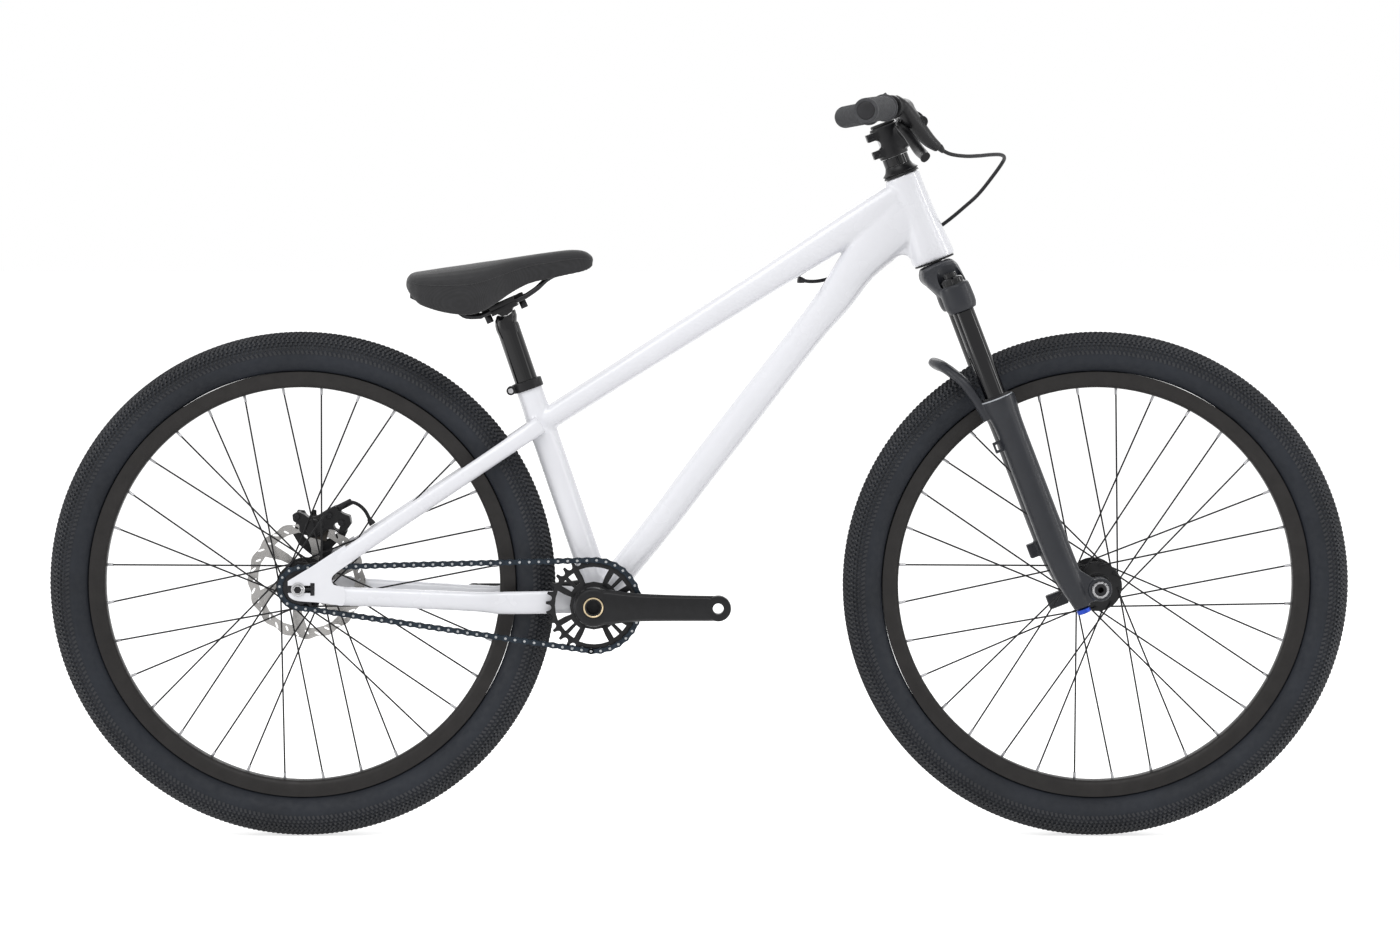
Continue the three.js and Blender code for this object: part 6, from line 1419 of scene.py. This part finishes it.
class BIKE_OT_saddle(bpy.types.Operator):
    """Make the saddle: padded cover, seam, shell and rails"""
    bl_idname = "bike.saddle"
    bl_label = "Saddle"

    def execute(self, context):
        bm = bmesh.new()
        edges = None
        rows = [(min(max(r[0], 0), 1), *r[1:]) for r in smooth_route(SADDLE_ROWS, 44)]
        for row in rows:
            verts = [bm.verts.new(p) for p in saddle_ring(row)]
            loop = [bm.edges.new((a, b)) for a, b in zip(verts, verts[1:] + verts[:1])]
            if edges:
                bmesh.ops.bridge_loops(bm, edges=edges + loop)
            else:
                bmesh.ops.contextual_create(bm, geom=loop)
            edges = loop
        bmesh.ops.contextual_create(bm, geom=edges)
        bmesh.ops.recalc_face_normals(bm, faces=list(bm.faces))
        placed(bm, SADDLE)
        cover = drawn(bm, "saddle_cover")
        cast(cover, 1.6, 6)
        piece(cover, "saddle", "cloth", ["saddle_pad"], sharp=80)
        # seam along the side of the cover
        bm = bmesh.new()
        for side in (-1, 1):
            line = []
            for row in rows[2:-3]:
                point = saddle_ring(row)[SEAM_POINT]
                line.append((point.x, side * (point.y - 0.35), point.z, 1.5, 1.5))
            sweep(bm, line, 8, Vector((0, 0, 1)))
        placed(bm, SADDLE)
        piece(drawn(bm, "saddle_seam"), "saddle", "cloth", sharp=60)
        shell = drawn(copy_of("saddle_shell"), "saddle_shell_shape")
        piece(shell, "saddle", "plastic", ["saddle_shell"], bevel=0.6, sharp=30)
        bm = bmesh.new()
        half = [(-59.7, 33, -5), (-49, 27.5, -13), (-30.6, 22, -13.5), (-28, 22, -12.35), (-14, 22, -6.18),
                (0, 22, 0), (14, 22, 6.18), (28, 22, 12.35), (30.6, 22, 13.5), (44.4, 17.6, 23),
                (56.6, 9.9, 34.3), (67.3, 7, 40.7), (75, 0, 43.3)]
        rows = half + [(x, -y, z) for x, y, z in half[-2::-1]]
        sweep(bm, smooth_route([(*p, 7, 7) for p in rows], 90), 20, Vector((0, 0, 1)))
        placed(bm, SADDLE)
        piece(drawn(bm, "rails_wire"), "saddle", "bolt", ["saddle_rails"], sharp=60)
        return {"FINISHED"}


# ---------------------------------------------------------------- stage

# Name, place and aim in metres, width and height in metres, and power in watts
LIGHTS = (
    ("key", (-0.6, -2.2, 3.2), (0, 0, 0.45), (3.0, 1.6), 45),
    ("fill_left", (-3.0, -1.8, 1.1), (0, 0, 0.5), (0.7, 2.4), 9),
    ("fill_right", (3.0, -1.8, 1.1), (0.2, 0, 0.5), (0.7, 2.4), 9),
    ("strip_left", (-4.4, -1.4, 0.9), (0, 0, 0.5), (0.5, 2.6), 34),
    ("strip_right", (4.6, -0.3, 1.8), (0, 0, 0.6), (0.4, 3.6), 44),
    ("rim", (0.4, 2.6, 2.2), (0, 0, 0.5), (2.6, 1.0), 18),
)
# The camera's lens and film width in millimetres, its place and its aim in metres
LENS, SENSOR = 109.7, 36
EYE, AIM = (0.0012, -5.6861, 0.8986), (0.0012, 0, 0.501)
# Strength of the floor's own glow, and of the world on the bike, where 1 is white
FLOOR_GLOW, WORLD_LIGHT = 0.66, 0.62
FLOOR_HALF = 30000


def area_light(name, place, aim, size, energy):
    light = bpy.data.lights.new(name, "AREA")
    light.shape = "RECTANGLE"
    light.size, light.size_y = size
    light.energy = energy
    obj = bpy.data.objects.new(name, light)
    bpy.context.scene.collection.objects.link(obj)
    obj.location = place
    obj.rotation_euler = (Vector(aim) - Vector(place)).to_track_quat("-Z", "Y").to_euler()


def shown(nodes, links):
    """1 for the rays that see the background: camera, gloss and glass."""
    path = nodes.new("ShaderNodeLightPath")
    most = path.outputs["Is Camera Ray"]
    for name in ("Is Glossy Ray", "Is Transmission Ray"):
        most = worked(nodes, links, "MAXIMUM", most, path.outputs[name])
    return most


class BIKE_OT_stage(bpy.types.Operator):
    """Make the floor, the studio light and the camera"""
    bl_idname = "bike.stage"
    bl_label = "Stage"

    def execute(self, context):
        scene = context.scene
        scene.view_settings.view_transform = "Standard"
        bm = bmesh.new()
        bmesh.ops.create_grid(bm, x_segments=2, y_segments=2, size=FLOOR_HALF)
        floor = drawn(bm, "floor")
        material, nodes, links, surface = shader("floor_white")[:4]
        surface.inputs["Base Color"].default_value = (0.8, 0.8, 0.8, 1)
        surface.inputs["Roughness"].default_value = 0.9
        surface.inputs["Specular IOR Level"].default_value = 0.1
        glow = nodes.new("ShaderNodeEmission")
        glow.inputs["Color"].default_value = (1, 1, 1, 1)
        links.new(worked(nodes, links, "MULTIPLY", shown(nodes, links), FLOOR_GLOW), glow.inputs["Strength"])
        total = nodes.new("ShaderNodeAddShader")
        links.new(surface.outputs["BSDF"], total.inputs[0])
        links.new(glow.outputs["Emission"], total.inputs[1])
        links.new(total.outputs["Shader"], nodes["Material Output"].inputs["Surface"])
        floor.data.materials.append(material)

        world = bpy.data.worlds.new("studio")
        scene.world = world
        world.use_nodes = True
        nodes, links = world.node_tree.nodes, world.node_tree.links
        back = nodes["Background"]
        back.inputs["Color"].default_value = (1, 1, 1, 1)
        strength = nodes.new("ShaderNodeMapRange")
        strength.inputs["To Min"].default_value = WORLD_LIGHT
        strength.inputs["To Max"].default_value = 1.0
        links.new(shown(nodes, links), strength.inputs["Value"])
        links.new(strength.outputs["Result"], back.inputs["Strength"])

        for name, place, aim, size, energy in LIGHTS:
            area_light(name, place, aim, size, energy)

        camera = bpy.data.cameras.new("camera")
        camera.lens, camera.sensor_width = LENS, SENSOR
        eye = bpy.data.objects.new("camera", camera)
        scene.collection.objects.link(eye)
        eye.location = EYE
        eye.rotation_euler = (Vector(AIM) - eye.location).to_track_quat("-Z", "Y").to_euler()
        scene.camera = eye
        return {"FINISHED"}


class BIKE_PT_panel(bpy.types.Panel):
    """Lists the steps that build the bike"""
    bl_idname = "BIKE_PT_panel"
    bl_label = "Dirt jump bike"
    bl_space_type = "VIEW_3D"
    bl_region_type = "UI"
    bl_category = "Bike"

    def draw(self, context):
        for group in (context.scene.bike_wheels, context.scene.bike_frame, context.scene.bike_colours):
            for name in group.__annotations__:
                self.layout.prop(group, name)
        for step in STEPS:
            self.layout.operator(step.bl_idname)


GROUPS = {"bike_wheels": WheelSizes, "bike_frame": FrameSizes, "bike_colours": BikeColours}
STEPS = (BIKE_OT_finishes, BIKE_OT_tyres, BIKE_OT_rims, BIKE_OT_hubs, BIKE_OT_chain, BIKE_OT_crankset,
         BIKE_OT_frame, BIKE_OT_fork, BIKE_OT_bar, BIKE_OT_stem, BIKE_OT_brake_lever, BIKE_OT_rotor,
         BIKE_OT_caliper, BIKE_OT_hoses, BIKE_OT_seatpost, BIKE_OT_saddle, BIKE_OT_stage)
CLASSES = (*GROUPS.values(), *STEPS, BIKE_PT_panel)


def register():
    for each in CLASSES:
        bpy.utils.register_class(each)
    for name, group in GROUPS.items():
        setattr(bpy.types.Scene, name, PointerProperty(type=group))


def unregister():
    for name in GROUPS:
        delattr(bpy.types.Scene, name)
    for each in reversed(CLASSES):
        bpy.utils.unregister_class(each)


def main():
    register()
    for step in STEPS:
        group, name = step.bl_idname.split(".")
        getattr(getattr(bpy.ops, group), name)()


if __name__ == "__main__":
    main()
